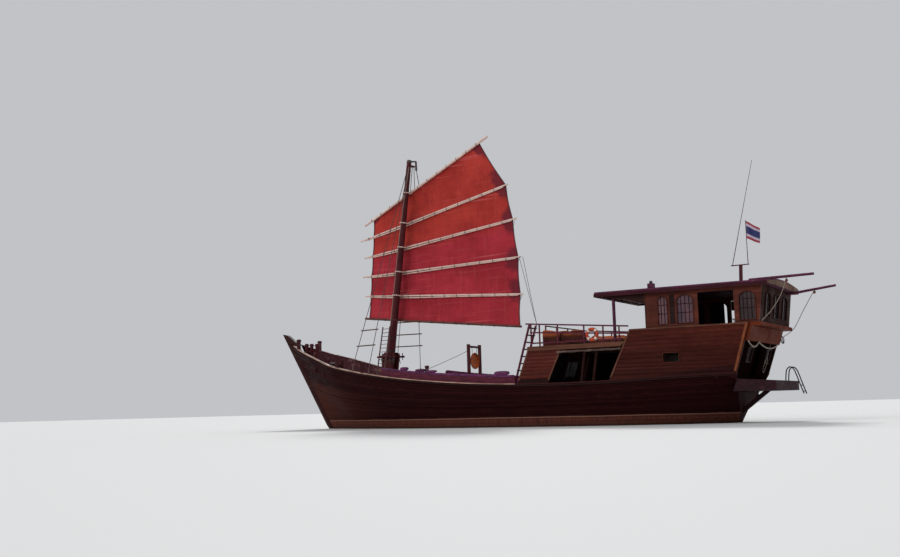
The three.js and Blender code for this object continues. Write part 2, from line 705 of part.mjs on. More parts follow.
// Benches and cushions on the upper deck
const bench = { aft: -4.85, fore: -3.0, inner: 1.7, outer: 2.42, seat: 3.72, back: 3.93, thick: 0.09 };
addPair('bench', fuse(
  box(bench.aft, bench.fore, bench.inner, bench.outer, upperDeck + gap, bench.seat),
  box(bench.aft, bench.fore, bench.outer - bench.thick, bench.outer, bench.seat - 0.05, bench.back),
), colours.house);
addPair('cushion', mergeVertices(box(
  bench.aft + 0.03, bench.fore - 0.03, bench.inner + 0.01, bench.outer - bench.thick - 0.006,
  bench.seat + gap, bench.seat + 0.13,
), 1e-6), colours.seat);

const lifeRing = { x: -5.5, z: 3.7, radius: 0.225, tube: 0.06 };
const ringSolid = new THREE.TorusGeometry(lifeRing.radius, lifeRing.tube, 8, 24).rotateX(Math.PI / 2)
  .translate(lifeRing.x, railY + railSize / 2 + lifeRing.tube + gap, lifeRing.z);
add('life_ring', ringSolid, colours.white);

// Mast, its tabernacle and the standing rigging
const mastRadius = { foot: 0.21, head: 0.115, footHeight: 2.15 };
const axisAt = (z) => [mastFoot.x - rakeTan * (z - mastFoot.z), 0, z];
const mastRadiusAt = (z) => mastRadius.foot + (mastRadius.head - mastRadius.foot)
  * (z - mastRadius.footHeight) / (mastTop - mastRadius.footHeight);
const mastSides = 20;

const tabernacle = { top: 3.7, inner: 0.225, thick: 0.1, deep: 0.6, barHeight: 3.48, barHalf: 0.55 };
function tabernacleSolid() {
  const [footX] = axisAt(mastRadius.footHeight);
  const [topX] = axisAt(tabernacle.top);
  const base = box(footX - 0.5, footX + 0.5, -0.4, 0.4, 1.6, mastRadius.footHeight);
  const middle = tabernacle.inner + tabernacle.thick / 2;
  const cheeks = [middle, -middle].map((y) => plate([
    [footX - tabernacle.deep / 2, mastRadius.footHeight - 0.1],
    [footX + tabernacle.deep / 2, mastRadius.footHeight - 0.1],
    [topX + tabernacle.deep / 2, tabernacle.top - 0.12], [topX + tabernacle.deep / 2 - 0.12, tabernacle.top],
    [topX - tabernacle.deep / 2 + 0.12, tabernacle.top], [topX - tabernacle.deep / 2, tabernacle.top - 0.12],
  ], y - tabernacle.thick / 2, y + tabernacle.thick / 2));
  const [barX] = axisAt(tabernacle.barHeight);
  const barY = tabernacle.inner + tabernacle.thick + 0.04;
  const bars = [barY, -barY].map((y) => box(
    barX - tabernacle.barHalf, barX + tabernacle.barHalf, y - 0.05, y + 0.05,
    tabernacle.barHeight - 0.045, tabernacle.barHeight + 0.045,
  ));
  const pins = [barY, -barY].flatMap((y) => [-0.45, -0.25, 0.25, 0.45].map((dx) => rod(
    [barX + dx, y, tabernacle.barHeight - 0.16], [barX + dx, y, tabernacle.barHeight + 0.18], 0.018, 0.024, 8,
  )));
  return fitTo(fuse(base, cheeks, bars, pins), hull);
}
add('tabernacle', tabernacleSolid(), colours.mast);

const mastWhole = rod(axisAt(1.9), axisAt(mastTop), mastRadiusAt(1.9), mastRadius.head, mastSides);
// The starboard wires hang from a short arm, which keeps them outside the sail as it swings.
const mastArm = { low: 13.0, high: 13.06, half: 0.1, reach: 0.44, wireAt: 0.38, wireApart: 0.05 };
const armX = axisAt(mastArm.low)[0];
add('mast', fuse(
  cut(mastWhole, box(5, 9, -1, 1, 0, mastRadius.footHeight + gap)),
  box(armX - mastArm.half, armX + mastArm.half, -mastArm.reach, 0, mastArm.low, mastArm.high),
), colours.mast);

const shroudHeads = [13.13, 13.0]; // where the fore and the aft wire meet the mast's axis
const armHeads = [mastArm.wireApart, -mastArm.wireApart].map(
  (dx) => [armX + dx, mastArm.wireAt, mastArm.low + 0.02],
);
const screwRadius = 0.05;
const mastClear = rod(
  axisAt(12), axisAt(mastTop + 0.05), mastRadiusAt(12) + gap, mastRadius.head + gap, mastSides,
);
const armClear = box(armX - 0.3, armX + 0.3, 0.2, 0.6, mastArm.low - gap, mastArm.high);
const shrouds = { // feet along the rail, and the heights of the wooden rungs
  port: { fore: 7.07, aft: 6.0, rungs: [3.93, 4.68], heads: shroudHeads.map(axisAt), clear: mastClear },
  starboard: { fore: 8.1, aft: 6.8, rungs: [4.13, 4.73, 5.36], heads: armHeads, clear: armClear },
};

function shroudSolid({ fore, aft, rungs, heads, clear }) {
  const footAt = (x) => [x, follow(sheerBreadth, x) - bulwarkThickness / 2, follow(sheerLine, x) + 0.25];
  const feet = [footAt(fore), footAt(aft)];
  const wires = feet.map((foot, i) => rod(foot, heads[i], 0.016, 0.016, 8));
  const screws = feet.map(([x, y, z]) => rod(
    [x, y, follow(sheerLine, x + screwRadius) + gap], [x, y, z + 0.02], screwRadius, 0.035, 10,
  ));
  const bars = rungs.map((z) => {
    const ends = feet.map((foot, wire) => {
      const t = (z - foot[2]) / (heads[wire][2] - foot[2]);
      return foot.map((value, i) => value + (heads[wire][i] - value) * t);
    });
    const [a, b] = ends;
    const past = (p, q) => p.map((value, i) => value + (value - q[i]) * 0.12);
    return rod(past(a, b), past(b, a), 0.028, 0.028, 8);
  });
  return cut(fuse(wires, screws, bars), clear);
}
add('shrouds_port', shroudSolid(shrouds.port), colours.rope);
add('shrouds_starboard', mirrored(shroudSolid(shrouds.starboard)), colours.rope);

// Wooden ladder that leans from the deck towards the mast, its rungs fore and aft
const crewLadder = { x: 6.62, half: 0.21, footY: 1.25, foot: 1.8, topY: 0.5, top: 4.95, step: 0.19 };
function crewLadderSolid() {
  const { x, half, footY, foot, topY, top, step } = crewLadder;
  const lean = (z) => footY + (topY - footY) * (z - foot) / (top - foot);
  const rails = [x - half, x + half].map((side) => beam([side, lean(foot - 0.1), foot - 0.1], [side, topY, top], 0.05, 0.04));
  const rungs = [];
  for (let z = foot + step; z < top - 0.05; z += step) {
    rungs.push(rod([x - half, lean(z), z], [x + half, lean(z), z], 0.016, 0.016, 6));
  }
  return fitTo(fuse(rails, rungs), hull);
}
add('crew_ladder', crewLadderSolid(), colours.spar);

// Gong in its frame
const gong = { x: 1.9, radius: 0.39, z: 3.05, postY: 0.5, post: 0.12, top: 3.82, bar: 3.66 };
const halfPost = gong.post / 2;
add('gong_frame', fitTo(fuse(
  [gong.postY, -gong.postY].map((y) => box(
    gong.x - halfPost, gong.x + halfPost, y - halfPost, y + halfPost, mainDeck - 0.05, gong.top,
  )),
  [gong.postY, -gong.postY].map((y) => box(
    gong.x - 0.35, gong.x + 0.2, y - halfPost, y + halfPost, mainDeck - 0.05, mainDeck + 0.12,
  )),
  box(gong.x - 0.05, gong.x + 0.05, -gong.postY, gong.postY, gong.bar, gong.bar + 0.09),
  box(gong.x - 0.05, gong.x + 0.05, -gong.postY, gong.postY, 1.9, 2.0),
), hull), colours.mast);
function gongDisc() {
  const profile = [
    [0, 0.03], [0.09, 0.03], [0.11, 0.015], [gong.radius - 0.03, 0.01], [gong.radius, -0.05],
    [gong.radius - 0.02, -0.055], [gong.radius - 0.05, -0.01], [0, -0.01],
  ].reverse().map(([r, h]) => new THREE.Vector2(r, h));
  const disc = new THREE.LatheGeometry(profile, 28).rotateZ(-Math.PI / 2).translate(gong.x, 0, gong.z);
  const hooks = [-0.2, 0.2].map((y) => rod(
    [gong.x - 0.015, y, gong.z + 0.3], [gong.x - 0.015, y, gong.bar - gap], 0.012, 0.012, 6,
  ));
  return fuse(disc, hooks);
}
add('gong', gongDisc(), colours.bronze, { rough: 0.4, metal: 0.6 });

// Deck hatch with a hinged lid
const hatch = { aft: -0.3, fore: 0.8, half: 0.55, high: 1.5, wall: 0.07 };
add('hatch_coaming', cut(
  box(hatch.aft, hatch.fore, -hatch.half, hatch.half, mainDeck + gap, hatch.high),
  box(hatch.aft + hatch.wall, hatch.fore - hatch.wall, -hatch.half + hatch.wall, hatch.half - hatch.wall, 1.0, 2.0),
), colours.deck);
add('hatch_lid', box(
  hatch.aft - 0.03, hatch.fore + 0.03, -hatch.half - 0.03, hatch.half + 0.03, hatch.high + gap, hatch.high + 0.06,
), colours.house);

// Windlass near the bow
const windlass = { x: 10.35, z: 3.2, half: 0.5, radius: 0.13 };
add('windlass_bitts', fitTo(fuse(
  [windlass.half + 0.07, -windlass.half - 0.07].map((y) => box(
    windlass.x - 0.1, windlass.x + 0.1, y - 0.07, y + 0.07, 2.5, windlass.z + 0.3,
  )),
  box(windlass.x - 0.35, windlass.x + 0.25, -windlass.half - 0.12, windlass.half + 0.12, 2.4, windlass.z - 0.27),
), hull), colours.mast);
add('windlass_barrel', fuse(
  rod([windlass.x, -windlass.half + gap, windlass.z], [windlass.x, windlass.half - gap, windlass.z],
    windlass.radius, windlass.radius, 8),
  [-0.3, 0, 0.3].map((y) => rod([windlass.x, y - 0.03, windlass.z], [windlass.x, y + 0.03, windlass.z], 0.17, 0.17, 12)),
), colours.mast);

// Three mooring posts on a rail, on the centreline ahead of the windlass
const bowPosts = [[12.2, 4.44], [11.86, 4.42], [11.5, 4.4]]; // x, height of the top
const bowPost = { half: 0.065, collar: 0.02, railLow: 3.98, railHigh: 4.08, railHalf: 0.045 };
add('bow_posts', fitTo(fuse(
  bowPosts.flatMap(([x, top]) => {
    const half = bowPost.half;
    const wide = half + bowPost.collar;
    return [
      box(x - half, x + half, -half, half, 2.95, top),
      box(x - wide, x + wide, -wide, wide, top - 0.12, top - 0.05),
    ];
  }),
  box(11.42, 12.28, -bowPost.railHalf, bowPost.railHalf, bowPost.railLow, bowPost.railHigh),
), hull), colours.mast);

// Boarding platform, its strut and its ladder
const platform = {
  aft: -12.45, fore: -10.72, halfAft: 1.75, halfFore: 2.12, low: 1.23, topFore: 1.73, topAft: 1.6,
};
function platformSolid() {
  const ring = (x, half, top) => [
    [half, platform.low], [half, top], [-half, top], [-half, platform.low],
  ].map(([y, z]) => [x, y, z]);
  const slab = loft([
    ring(platform.aft, platform.halfAft, platform.topAft),
    ring(platform.fore, platform.halfFore, platform.topFore),
  ]);
  const strut = beam([-10.5, 0, 0.36], [-11.8, 0, 1.35], 0.14, 0.16);
  const sternBlock = crossPlate(rectangle(-2.4, 2.4, 0, 2.2), sternAtWater - gap, 1, sternRake);
  return cut(fuse(slab, strut), sternBlock);
}

const platformTrimmed = platformSolid();
add('boarding_platform', platformTrimmed, colours.roof);

function tube(points, radius, sides = 8, steps = 24) {
  const path = new THREE.CatmullRomCurve3(points.map((p) => new THREE.Vector3(...p)));
  const circle = Array.from({ length: sides }, (_, i) => {
    const angle = 2 * Math.PI * i / sides;
    return new THREE.Vector2(radius * Math.cos(angle), radius * Math.sin(angle));
  });
  return new THREE.ExtrudeGeometry(new THREE.Shape(circle), { steps, bevelEnabled: false, extrudePath: path });
}
const boardingLadder = { port: -1.0, starboard: -1.45, rungs: [[-12.69, 1.42], [-12.77, 1.18]] };
function boardingLadderSolid() {
  const hoops = [boardingLadder.port, boardingLadder.starboard].map((y) => tube([
    [-12.12, y, 1.5], [-12.14, y, 1.8], [-12.2, y, 2.08], [-12.34, y, 2.17], [-12.47, y, 2.06],
    [-12.55, y, 1.85], [-12.63, y, 1.6], [-12.8, y, 1.08],
  ], 0.024));
  const rungs = boardingLadder.rungs.map(([x, z]) => rod(
    [x, boardingLadder.port, z], [x, boardingLadder.starboard, z], 0.02, 0.02, 8,
  ));
  return fitTo(fuse(hoops, rungs), platformTrimmed);
}
add('boarding_ladder', boardingLadderSolid(), colours.iron, { rough: 0.4, metal: 0.7 });

// Aerial frame, whip and flag staff on the roof, and the flag
const staff = { x: -11.2, low: 6.34, high: 8.16 };
const aerialMast = fitTo(fuse(
  beam([-10.86, 0, 5.5], [-10.9, 0, 6.34], 0.1, 0.12),
  beam([-10.5, 0, staff.low], [-11.24, 0, staff.low], 0.04, 0.04),
  rod([-10.56, 0, staff.low], [-11.62, 0, 10.6], 0.016, 0.008, 8),
  rod([staff.x, 0, staff.low - 0.02], [staff.x, 0, staff.high], 0.016, 0.012, 8),
), roof);
add('aerial_mast', aerialMast, colours.rail);
add('flag', fitTo(
  plate([[staff.x, 7.3], [-11.85, 7.05], [-11.9, 7.75], [staff.x, 8.08]], -0.01, 0.01), aerialMast,
), colours.flag);

// Rudder and propeller
add('rudder', fuse(
  plate([
    [rudderStock.x + 0.16, heelTop + 0.03], [rudderStock.x + 0.16, rudderStock.top - 0.12],
    [-10.5, rudderStock.top - 0.06], [-10.62, -1.2], [-10.55, heelTop + 0.03],
  ], -0.035, 0.035),
  rod([rudderStock.x, 0, heelTop + gap], [rudderStock.x, 0, rudderStock.top - gap], rudderStock.radius, rudderStock.radius, 16),
), colours.keel);

const propeller = { x: -9.35, z: -1.36, radius: 0.4, hub: 0.085 };
function propellerSolid() {
  const profile = [[0, 0.22], [0.05, 0.17], [propeller.hub, 0.06], [propeller.hub, -0.12], [0.035, -0.14],
    [0.035, apertureFront - propeller.x > 0 ? -(apertureFront - propeller.x) + gap : -0.4], [0, -(apertureFront - propeller.x) + gap]];
  const hub = new THREE.LatheGeometry(
    profile.map(([r, h]) => new THREE.Vector2(r, h)).reverse(), 16,
  ).rotateZ(Math.PI / 2);
  const blades = [0, 1, 2].map((i) => {
    const points = [[-0.07, 0.04], [0.07, 0.04], [0.15, 0.22], [0.1, 0.36], [0, propeller.radius],
      [-0.1, 0.36], [-0.15, 0.22]].map(([a, b]) => new THREE.Vector2(a, b));
    const blade = new THREE.ExtrudeGeometry(new THREE.Shape(points), { depth: 0.02, bevelEnabled: false });
    // The blade stands up from the shaft, pitched about its own length, then turned round the shaft.
    blade.translate(0, 0, -0.01).rotateX(Math.PI / 2).rotateZ(0.95).rotateX(i * 2 * Math.PI / 3);
    return blade;
  });
  return fuse(hub, blades).translate(propeller.x, 0, propeller.z);
}
add('propeller', propellerSolid(), colours.bronze, { rough: 0.35, metal: 0.9 });

// Helm: a console and the wheel behind it
const helm = { x: -8.36, z: 4.28, radius: 0.38, wheelX: -8.5 };
add('helm_console', box(-7.95, helm.x, -0.35, 0.35, upperDeck + gap, 4.5), colours.house);
function wheelSolid() {
  const rim = new THREE.TorusGeometry(helm.radius - 0.08, 0.022, 8, 24).rotateY(Math.PI / 2);
  const spokes = Array.from({ length: 6 }, (_, i) => {
    const angle = Math.PI * i / 3;
    const [c, s] = [Math.cos(angle), Math.sin(angle)];
    return rod([0, 0.02 * c, 0.02 * s], [0, helm.radius * c, helm.radius * s], 0.016, 0.02, 8);
  });
  const hub = rod([-0.05, 0, 0], [helm.x - helm.wheelX - gap, 0, 0], 0.055, 0.055, 12);
  return fuse(rim, spokes, hub).translate(helm.wheelX, 0, helm.z);
}
add('helm_wheel', wheelSolid(), colours.mast);

// Sail rig. The sail hangs on the starboard side of the mast; its spars lie against the cloth.
const sailFace = -0.3146; // y of the spars' outer side
const clothThickness = 0.016;
const parrelHigh = 0.05;
const spars = [ // name, fore end x and z, aft end x and z, radius
  ['yard', 8.4, 10.34, 0.97, 13.81, 0.06],
  ['batten_top', 8.71, 9.55, -0.05, 11.32, 0.04],
  ['batten_upper', 8.5, 8.65, -0.46, 9.63, 0.04],
  ['batten_lower', 8.6, 7.67, -0.62, 7.79, 0.04],
  ['batten_foot', 8.47, 6.68, -0.67, 6.03, 0.04],
  ['boom', 8.49, 5.53, -0.54, 4.53, 0.055],
];

const rig = new THREE.Group();

// Where a spar crosses the mast's axis, seen from the side.
function crossing([, x0, z0, x1, z1]) {
  const slope = (z1 - z0) / (x1 - x0);
  return (z0 + slope * (mastFoot.x + rakeTan * mastFoot.z - x0)) / (1 + slope * rakeTan);
}

// A loop from the spar round the mast, square to the mast.
function parrel(z, sparY) {
  const inner = mastRadiusAt(z) + 0.012;
  const outer = inner + 0.035;
  const bow = (radius, end) => {
    const arc = Array.from({ length: 13 }, (_, i) => {
      const angle = Math.PI * i / 12;
      return new THREE.Vector2(radius * Math.cos(angle), radius * Math.sin(angle));
    });
    return [new THREE.Vector2(radius, end), ...arc, new THREE.Vector2(-radius, end)];
  };
  const shape = new THREE.Shape(bow(outer, sparY - 0.015));
  shape.holes = [new THREE.Path(bow(inner, sparY + 0.015).reverse())];
  const geometry = new THREE.ExtrudeGeometry(shape, { depth: parrelHigh, bevelEnabled: false });
  return geometry.translate(0, 0, -parrelHigh / 2).rotateY(-Math.atan(rakeTan)).translate(...axisAt(z));
}

const sparSolids = spars.map((spar) => {
  const [name, x0, z0, x1, z1, radius] = spar;
  const y = sailFace + radius;
  const pole = rod([x0, y, z0], [x1, y, z1], radius);
  const solid = fuse(pole, parrel(crossing(spar), y));
  add(name, solid, colours.spar, {}, rig);
  return solid;
});

const sailOutline = [
  [8.28, 5.5], [8.17, 6.66], [8.1, 7.66], [8.0, 8.7], [7.92, 9.7], [7.89, 10.6], [1.48, 13.6], [1.2, 13.3],
  [0.55, 12.2], [0.07, 11.33], [-0.12, 10.4], [-0.24, 9.64], [-0.38, 8.7], [-0.46, 7.8], [-0.5, 6.9],
  [-0.51, 6.04], [-0.5, 5.3], [-0.44, 4.55],
];
add('sail', plate(sailOutline, sailFace - gap - clothThickness, sailFace - gap), colours.sail, {}, rig);

// Masthead crane that turns with the sail, and the halyard that carries the yard
function halyardSolid() {
  const top = mastTop + gap;
  const axisX = axisAt(top)[0];
  const cap = rod(axisAt(top), axisAt(top + 0.14), 0.14, 0.1, mastSides);
  const arm = beam([axisX, -0.02, top + 0.07], [axisX - 0.36, -0.12, top + 0.03], 0.06, 0.07);
  const block = rod([axisX - 0.33, -0.12, top + 0.03], [axisX - 0.34, -0.13, top - 0.42], 0.05, 0.06, 10);
  const fall = rod([axisX - 0.34, -0.13, top - 0.4], [4.98, -0.25, 11.9], 0.018, 0.018, 8);
  return cut(fuse(cap, arm, block, fall), moved(sparSolids[0], 0, 0, gap));
}
add('halyard', halyardSolid(), colours.rope, {}, rig);
ship.add(rig);

ship.scale.setScalar(1000); // metres to millimetres

export default ship;
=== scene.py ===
import math
import time

import bpy
import numpy as np
from mathutils import Matrix


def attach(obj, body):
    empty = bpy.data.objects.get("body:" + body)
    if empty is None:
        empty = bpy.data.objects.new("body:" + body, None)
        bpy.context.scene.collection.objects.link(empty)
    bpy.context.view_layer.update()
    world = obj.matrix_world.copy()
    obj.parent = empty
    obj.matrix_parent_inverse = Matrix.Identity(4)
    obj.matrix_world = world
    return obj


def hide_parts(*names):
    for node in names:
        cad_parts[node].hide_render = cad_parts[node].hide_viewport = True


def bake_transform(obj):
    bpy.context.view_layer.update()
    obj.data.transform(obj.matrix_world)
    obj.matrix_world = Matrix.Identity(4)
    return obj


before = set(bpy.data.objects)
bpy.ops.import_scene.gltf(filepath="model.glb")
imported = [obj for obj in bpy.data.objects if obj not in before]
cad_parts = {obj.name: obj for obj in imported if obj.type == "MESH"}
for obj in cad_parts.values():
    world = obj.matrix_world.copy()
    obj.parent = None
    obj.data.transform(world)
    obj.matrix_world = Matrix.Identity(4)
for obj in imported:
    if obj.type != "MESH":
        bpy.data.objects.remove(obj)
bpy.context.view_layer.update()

startTime = time.time()


def report(stage):
    print(f"[junk] {stage}: {time.time() - startTime:.1f} s")


# camera and light

camera = {"place": (-22.573, 40.362, 0.80), "right": (-0.8434, -0.5373, 0.0),
          "ahead": (0.5373, -0.8434, 0.0), "tiltUp": 7.479, "roll": 1.488,
          "lens": 40.0, "sensor": 36.0, "near": 0.5, "far": 2000.0}


def unit(v):
    v = np.asarray(v, float)
    return v / np.maximum(np.linalg.norm(v, axis=-1, keepdims=True), 1e-12)


def placeCamera(c):
    # the level right and ahead directions are tilted up, then rolled about the line of sight
    tilt, roll, up = math.radians(c["tiltUp"]), math.radians(c["roll"]), np.array([0, 0, 1.0])
    right, ahead = np.array(c["right"]), np.array(c["ahead"])
    look = ahead * math.cos(tilt) + up * math.sin(tilt)
    top = -ahead * math.sin(tilt) + up * math.cos(tilt)
    x = unit(right * math.cos(roll) - top * math.sin(roll))
    y = unit(top * math.cos(roll) + right * math.sin(roll))
    data = bpy.data.cameras.new("photoCamera")
    data.lens, data.sensor_width, data.clip_start, data.clip_end = c["lens"], c["sensor"], c["near"], c["far"]
    eye = bpy.data.objects.new("photoCamera", data)
    bpy.context.scene.collection.objects.link(eye)
    turn = Matrix(np.array([x, y, -unit(look)]).T.tolist()).to_4x4()
    eye.matrix_world = Matrix.Translation(c["place"]) @ turn
    bpy.context.scene.camera = eye


placeCamera(camera)

studio = {"sky": (0.86, 0.88, 0.92), "skyStrength": 0.62,
          "suns": {"keySun": {"power": 2.3, "spread": 14.0, "turn": (52.0, 0.0, 28.0)},
                   "fillSun": {"power": 0.9, "spread": 40.0, "turn": (62.0, 0.0, 150.0)}}}


def lightStudio(s):
    world = bpy.data.worlds.new("paleSky")
    world.use_nodes = True
    back = world.node_tree.nodes["Background"]
    back.inputs["Color"].default_value = (*s["sky"], 1)
    back.inputs["Strength"].default_value = s["skyStrength"]
    bpy.context.scene.world = world
    for name, light in s["suns"].items():
        sun = bpy.data.lights.new(name, "SUN")
        sun.energy, sun.angle = light["power"], math.radians(light["spread"])
        lamp = bpy.data.objects.new(name, sun)
        lamp.rotation_euler = [math.radians(a) for a in light["turn"]]
        bpy.context.scene.collection.objects.link(lamp)
    bpy.context.scene.view_settings.view_transform = "Standard"


lightStudio(studio)
report("camera and light")


# mesh making: a part is (points, [face arrays]); a piece joins parts

def xyz(x, y, z):
    # three coordinates, each a number or an array, as one array of points
    return np.stack(np.broadcast_arrays(x, y, z), -1)


def gridOf(u, v):
    # two rows of numbers spread over a grid, the first along i and the second along j
    return np.meshgrid(u, v, indexing="ij")


def between(a, b, t):
    # a share t of the way from a to b
    return a + (b - a) * t


def around(count):
    # equal steps of angle round a full turn
    return 2 * np.pi * np.arange(count) / count


def gridFaces(nu, nv, closeU=False, closeV=False):
    # quads between neighbours of an nu by nv grid, wrapping where it closes
    u = np.arange(nu if closeU else nu - 1)
    v = np.arange(nv if closeV else nv - 1)
    a, b = gridOf(u, v)
    c, d = (a + 1) % nu, (b + 1) % nv
    return np.stack([a * nv + b, c * nv + b, c * nv + d, a * nv + d], -1).reshape(-1, 4)


def facedOut(points, faces):
    # signed volume by the divergence theorem; the faces turn round where it is negative
    volume = 0.0
    for f in faces:
        p = points[f]
        for k in range(1, f.shape[1] - 1):
            volume += np.einsum("ij,ij->", p[:, 0], np.cross(p[:, k], p[:, k + 1]))
    return (points, [f[:, ::-1] for f in faces]) if volume < 0 else (points, faces)


def rings(points, closed=False):
    # rings[i, j] carried along i; ends closed by fans round each end ring's middle
    n, k = points.shape[:2]
    flat = points.reshape(-1, 3)
    faces = [gridFaces(n, k, closeU=closed, closeV=True)]
    if not closed:
        j = np.arange(k)
        nxt = (j + 1) % k
        flat = np.vstack([flat, points[0].mean(0), points[-1].mean(0)])
        faces.append(np.stack([nxt, j, np.full(k, n * k)], -1))
        faces.append(np.stack([(n - 1) * k + j, (n - 1) * k + nxt, np.full(k, n * k + 1)], -1))
    return facedOut(flat, faces)


def frameAlong(path, closed, ref):
    # tangent by differences, side = ref x tangent, up = tangent x side
    step = np.roll(path, -1, 0) - np.roll(path, 1, 0) if closed else np.gradient(path, axis=0)
    tangent = unit(step)
    side = unit(np.cross(np.asarray(ref, float), tangent))
    return side, np.cross(tangent, side)


def sweep(path, profile, closed=False, ref=(0.13, 0.21, 0.97), scale=1.0):
    # point = path + (side * profile across + up * profile high) * scale
    path = np.asarray(path, float)
    side, up = frameAlong(path, closed, ref)
    size = np.broadcast_to(scale, len(path))[:, None, None]
    offset = (side[:, None] * profile[None, :, :1] + up[:, None] * profile[None, :, 1:]) * size
    return rings(path[:, None] + offset, closed)


def roundProfile(radius, sides=8):
    # radius times (cosine, sine) of the angle
    angle = around(sides)
    return radius * np.stack([np.cos(angle), np.sin(angle)], -1)


def softBox(width, height, chamfer=0.15):
    # a rectangle with its corners cut
    c = chamfer * min(width, height)
    w, h = width / 2, height / 2
    return np.array([[w, h - c], [w - c, h], [c - w, h], [-w, h - c],
                     [-w, c - h], [c - w, -h], [w - c, -h], [w, c - h]])


def tube(path, radius, sides=8):
    # a round rope or rod along an open path
    return sweep(path, roundProfile(radius, sides))


def ropeRing(path, radius, ref, sides=6):
    # a round rope along a path that closes on itself
    return sweep(path, roundProfile(radius, sides), closed=True, ref=ref)


def bar(a, b, width, height, ref=(0.0, 0.02, 1.0)):
    # a straight timber from a to b with its edges taken off
    return sweep([a, b], softBox(width, height), ref=ref)


def smoothPath(points, count):
    # through every point: each span is a cubic blend of its two ends and their neighbours
    p = np.asarray(points, float)
    p = np.vstack([2 * p[0] - p[1], p, 2 * p[-1] - p[-2]])
    t = np.linspace(0, len(p) - 3 - 1e-6, count)
    i = t.astype(int)
    f = (t - i)[:, None]
    a, b, c, d = p[i], p[i + 1], p[i + 2], p[i + 3]
    square, cube = 2 * a - 5 * b + 4 * c - d, 3 * b - a - 3 * c + d
    return 0.5 * (2 * b + (c - a) * f + square * f ** 2 + cube * f ** 3)


def sagging(a, b, sag, count=14):
    # a straight line that drops by sag times 4 t (1 - t), t from 0 at a to 1 at b
    t = np.linspace(0, 1, count)[:, None]
    line = np.asarray(a, float) * (1 - t) + np.asarray(b, float) * t
    line[:, 2] -= sag * 4 * (t * (1 - t))[:, 0]
    return line


def slab(outer, inner):
    # two grids of the same shape, joined round their rims
    nu, nv = outer.shape[:2]
    n = nu * nv
    g = gridFaces(nu, nv)
    rim = np.concatenate([np.arange(nv), np.arange(1, nu) * nv + nv - 1,
                          (nu - 1) * nv + np.arange(nv - 2, -1, -1), np.arange(nu - 2, 0, -1) * nv])
    nxt = np.roll(rim, -1)
    sides = np.stack([rim, nxt, nxt + n, rim + n], -1)
    points = np.vstack([outer.reshape(-1, 3), inner.reshape(-1, 3)])
    return facedOut(points, [g[:, ::-1], g + n, sides[:, ::-1]])


def circleIn(side, other, sides):
    # points of a unit circle in the plane of two directions: side * cosine + other * sine
    angle = around(sides)
    return side * np.cos(angle)[:, None] + other * np.sin(angle)[:, None]


def revolved(profile, centre, axis, sides):
    # profile rows are (radius, distance along the axis), turned round the axis
    axis = unit(axis)
    side = unit(np.cross(axis, (0.3, 0.9, 0.2)))
    ring = circleIn(side, np.cross(axis, side), sides)
    r, h = np.asarray(profile, float).T
    return rings(np.asarray(centre, float) + ring[None] * r[:, None, None] + axis * h[:, None, None])


padGrid = {"around": 40, "upward": 20, "pole": 0.03}


def pillow(centre, half, squareness, crown):
    # superellipsoid: x = a cos(v)^crown cos(u)^square, y = b cos(v)^crown sin(u)^square, z = c sin(v)^crown
    u, top = around(padGrid["around"]), np.pi / 2 - padGrid["pole"]
    v = np.linspace(-top, top, padGrid["upward"])[:, None]
    power = lambda w, e: np.sign(w) * np.abs(w) ** e
    across, up = power(np.cos(v), crown), power(np.sin(v), crown)
    shape = xyz(across * power(np.cos(u), squareness), across * power(np.sin(u), squareness), up)
    return rings(np.asarray(centre, float) + shape * np.asarray(half, float))


def mirror(part):
    # the same part on the other side of the centreline, its faces turned round
    points, faces = part
    return points * np.array([1, -1, 1]), [f[:, ::-1] for f in faces]


def bothSides(parts):
    # the parts to port, then their mirrors to starboard
    return parts + [mirror(part) for part in parts]


def makeMesh(name, points, faceArrays, smooth=True):
    # a face array holds faces of one size, as rows of point numbers
    mesh = bpy.data.meshes.new(name)
    loops = np.concatenate([f.ravel() for f in faceArrays]).astype(np.int32)
    sizes = np.concatenate([np.full(len(f), f.shape[1]) for f in faceArrays]).astype(np.int32)
    mesh.vertices.add(len(points))
    mesh.vertices.foreach_set("co", np.asarray(points, np.float32).ravel())
    mesh.loops.add(len(loops))
    mesh.loops.foreach_set("vertex_index", loops)
    mesh.polygons.add(len(sizes))
    mesh.polygons.foreach_set("loop_start", np.concatenate([[0], np.cumsum(sizes)[:-1]]).astype(np.int32))
    mesh.polygons.foreach_set("use_smooth", np.full(len(sizes), smooth))
    mesh.update(calc_edges=True)
    mesh.validate()
    return mesh


def addPiece(name, parts, finish, body="ship", sharp=40.0, replaces=(), tones=None):
    # one object from several parts; tones gives each part a number from 0 to 1, which some finishes read
    total, points, faces = 0, [], []
    for p, fs in parts:
        points.append(p)
        faces += [f + total for f in fs]
        total += len(p)
    mesh = makeMesh(name, np.vstack(points), faces)
    if tones is not None:
        values = np.concatenate([np.full(len(p), t) for (p, _), t in zip(parts, tones)])
        mesh.attributes.new("tone", "FLOAT", "POINT").data.foreach_set("value", values.astype(np.float32))
    mesh.set_sharp_from_angle(angle=math.radians(sharp))
    piece = bpy.data.objects.new(name, mesh)
    bpy.context.scene.collection.objects.link(piece)
    mesh.materials.append(finishes[finish])
    if body:
        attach(piece, body)
    if replaces:
        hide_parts(*replaces)
    return piece


def addPair(name, parts, finish, sharp=40.0):
    # a padded piece to port, and its mirror to starboard
    for label, group in (("port", parts), ("starboard", [mirror(part) for part in parts])):
        addPiece(f"{name}_{label}", group, finish, sharp=sharp)


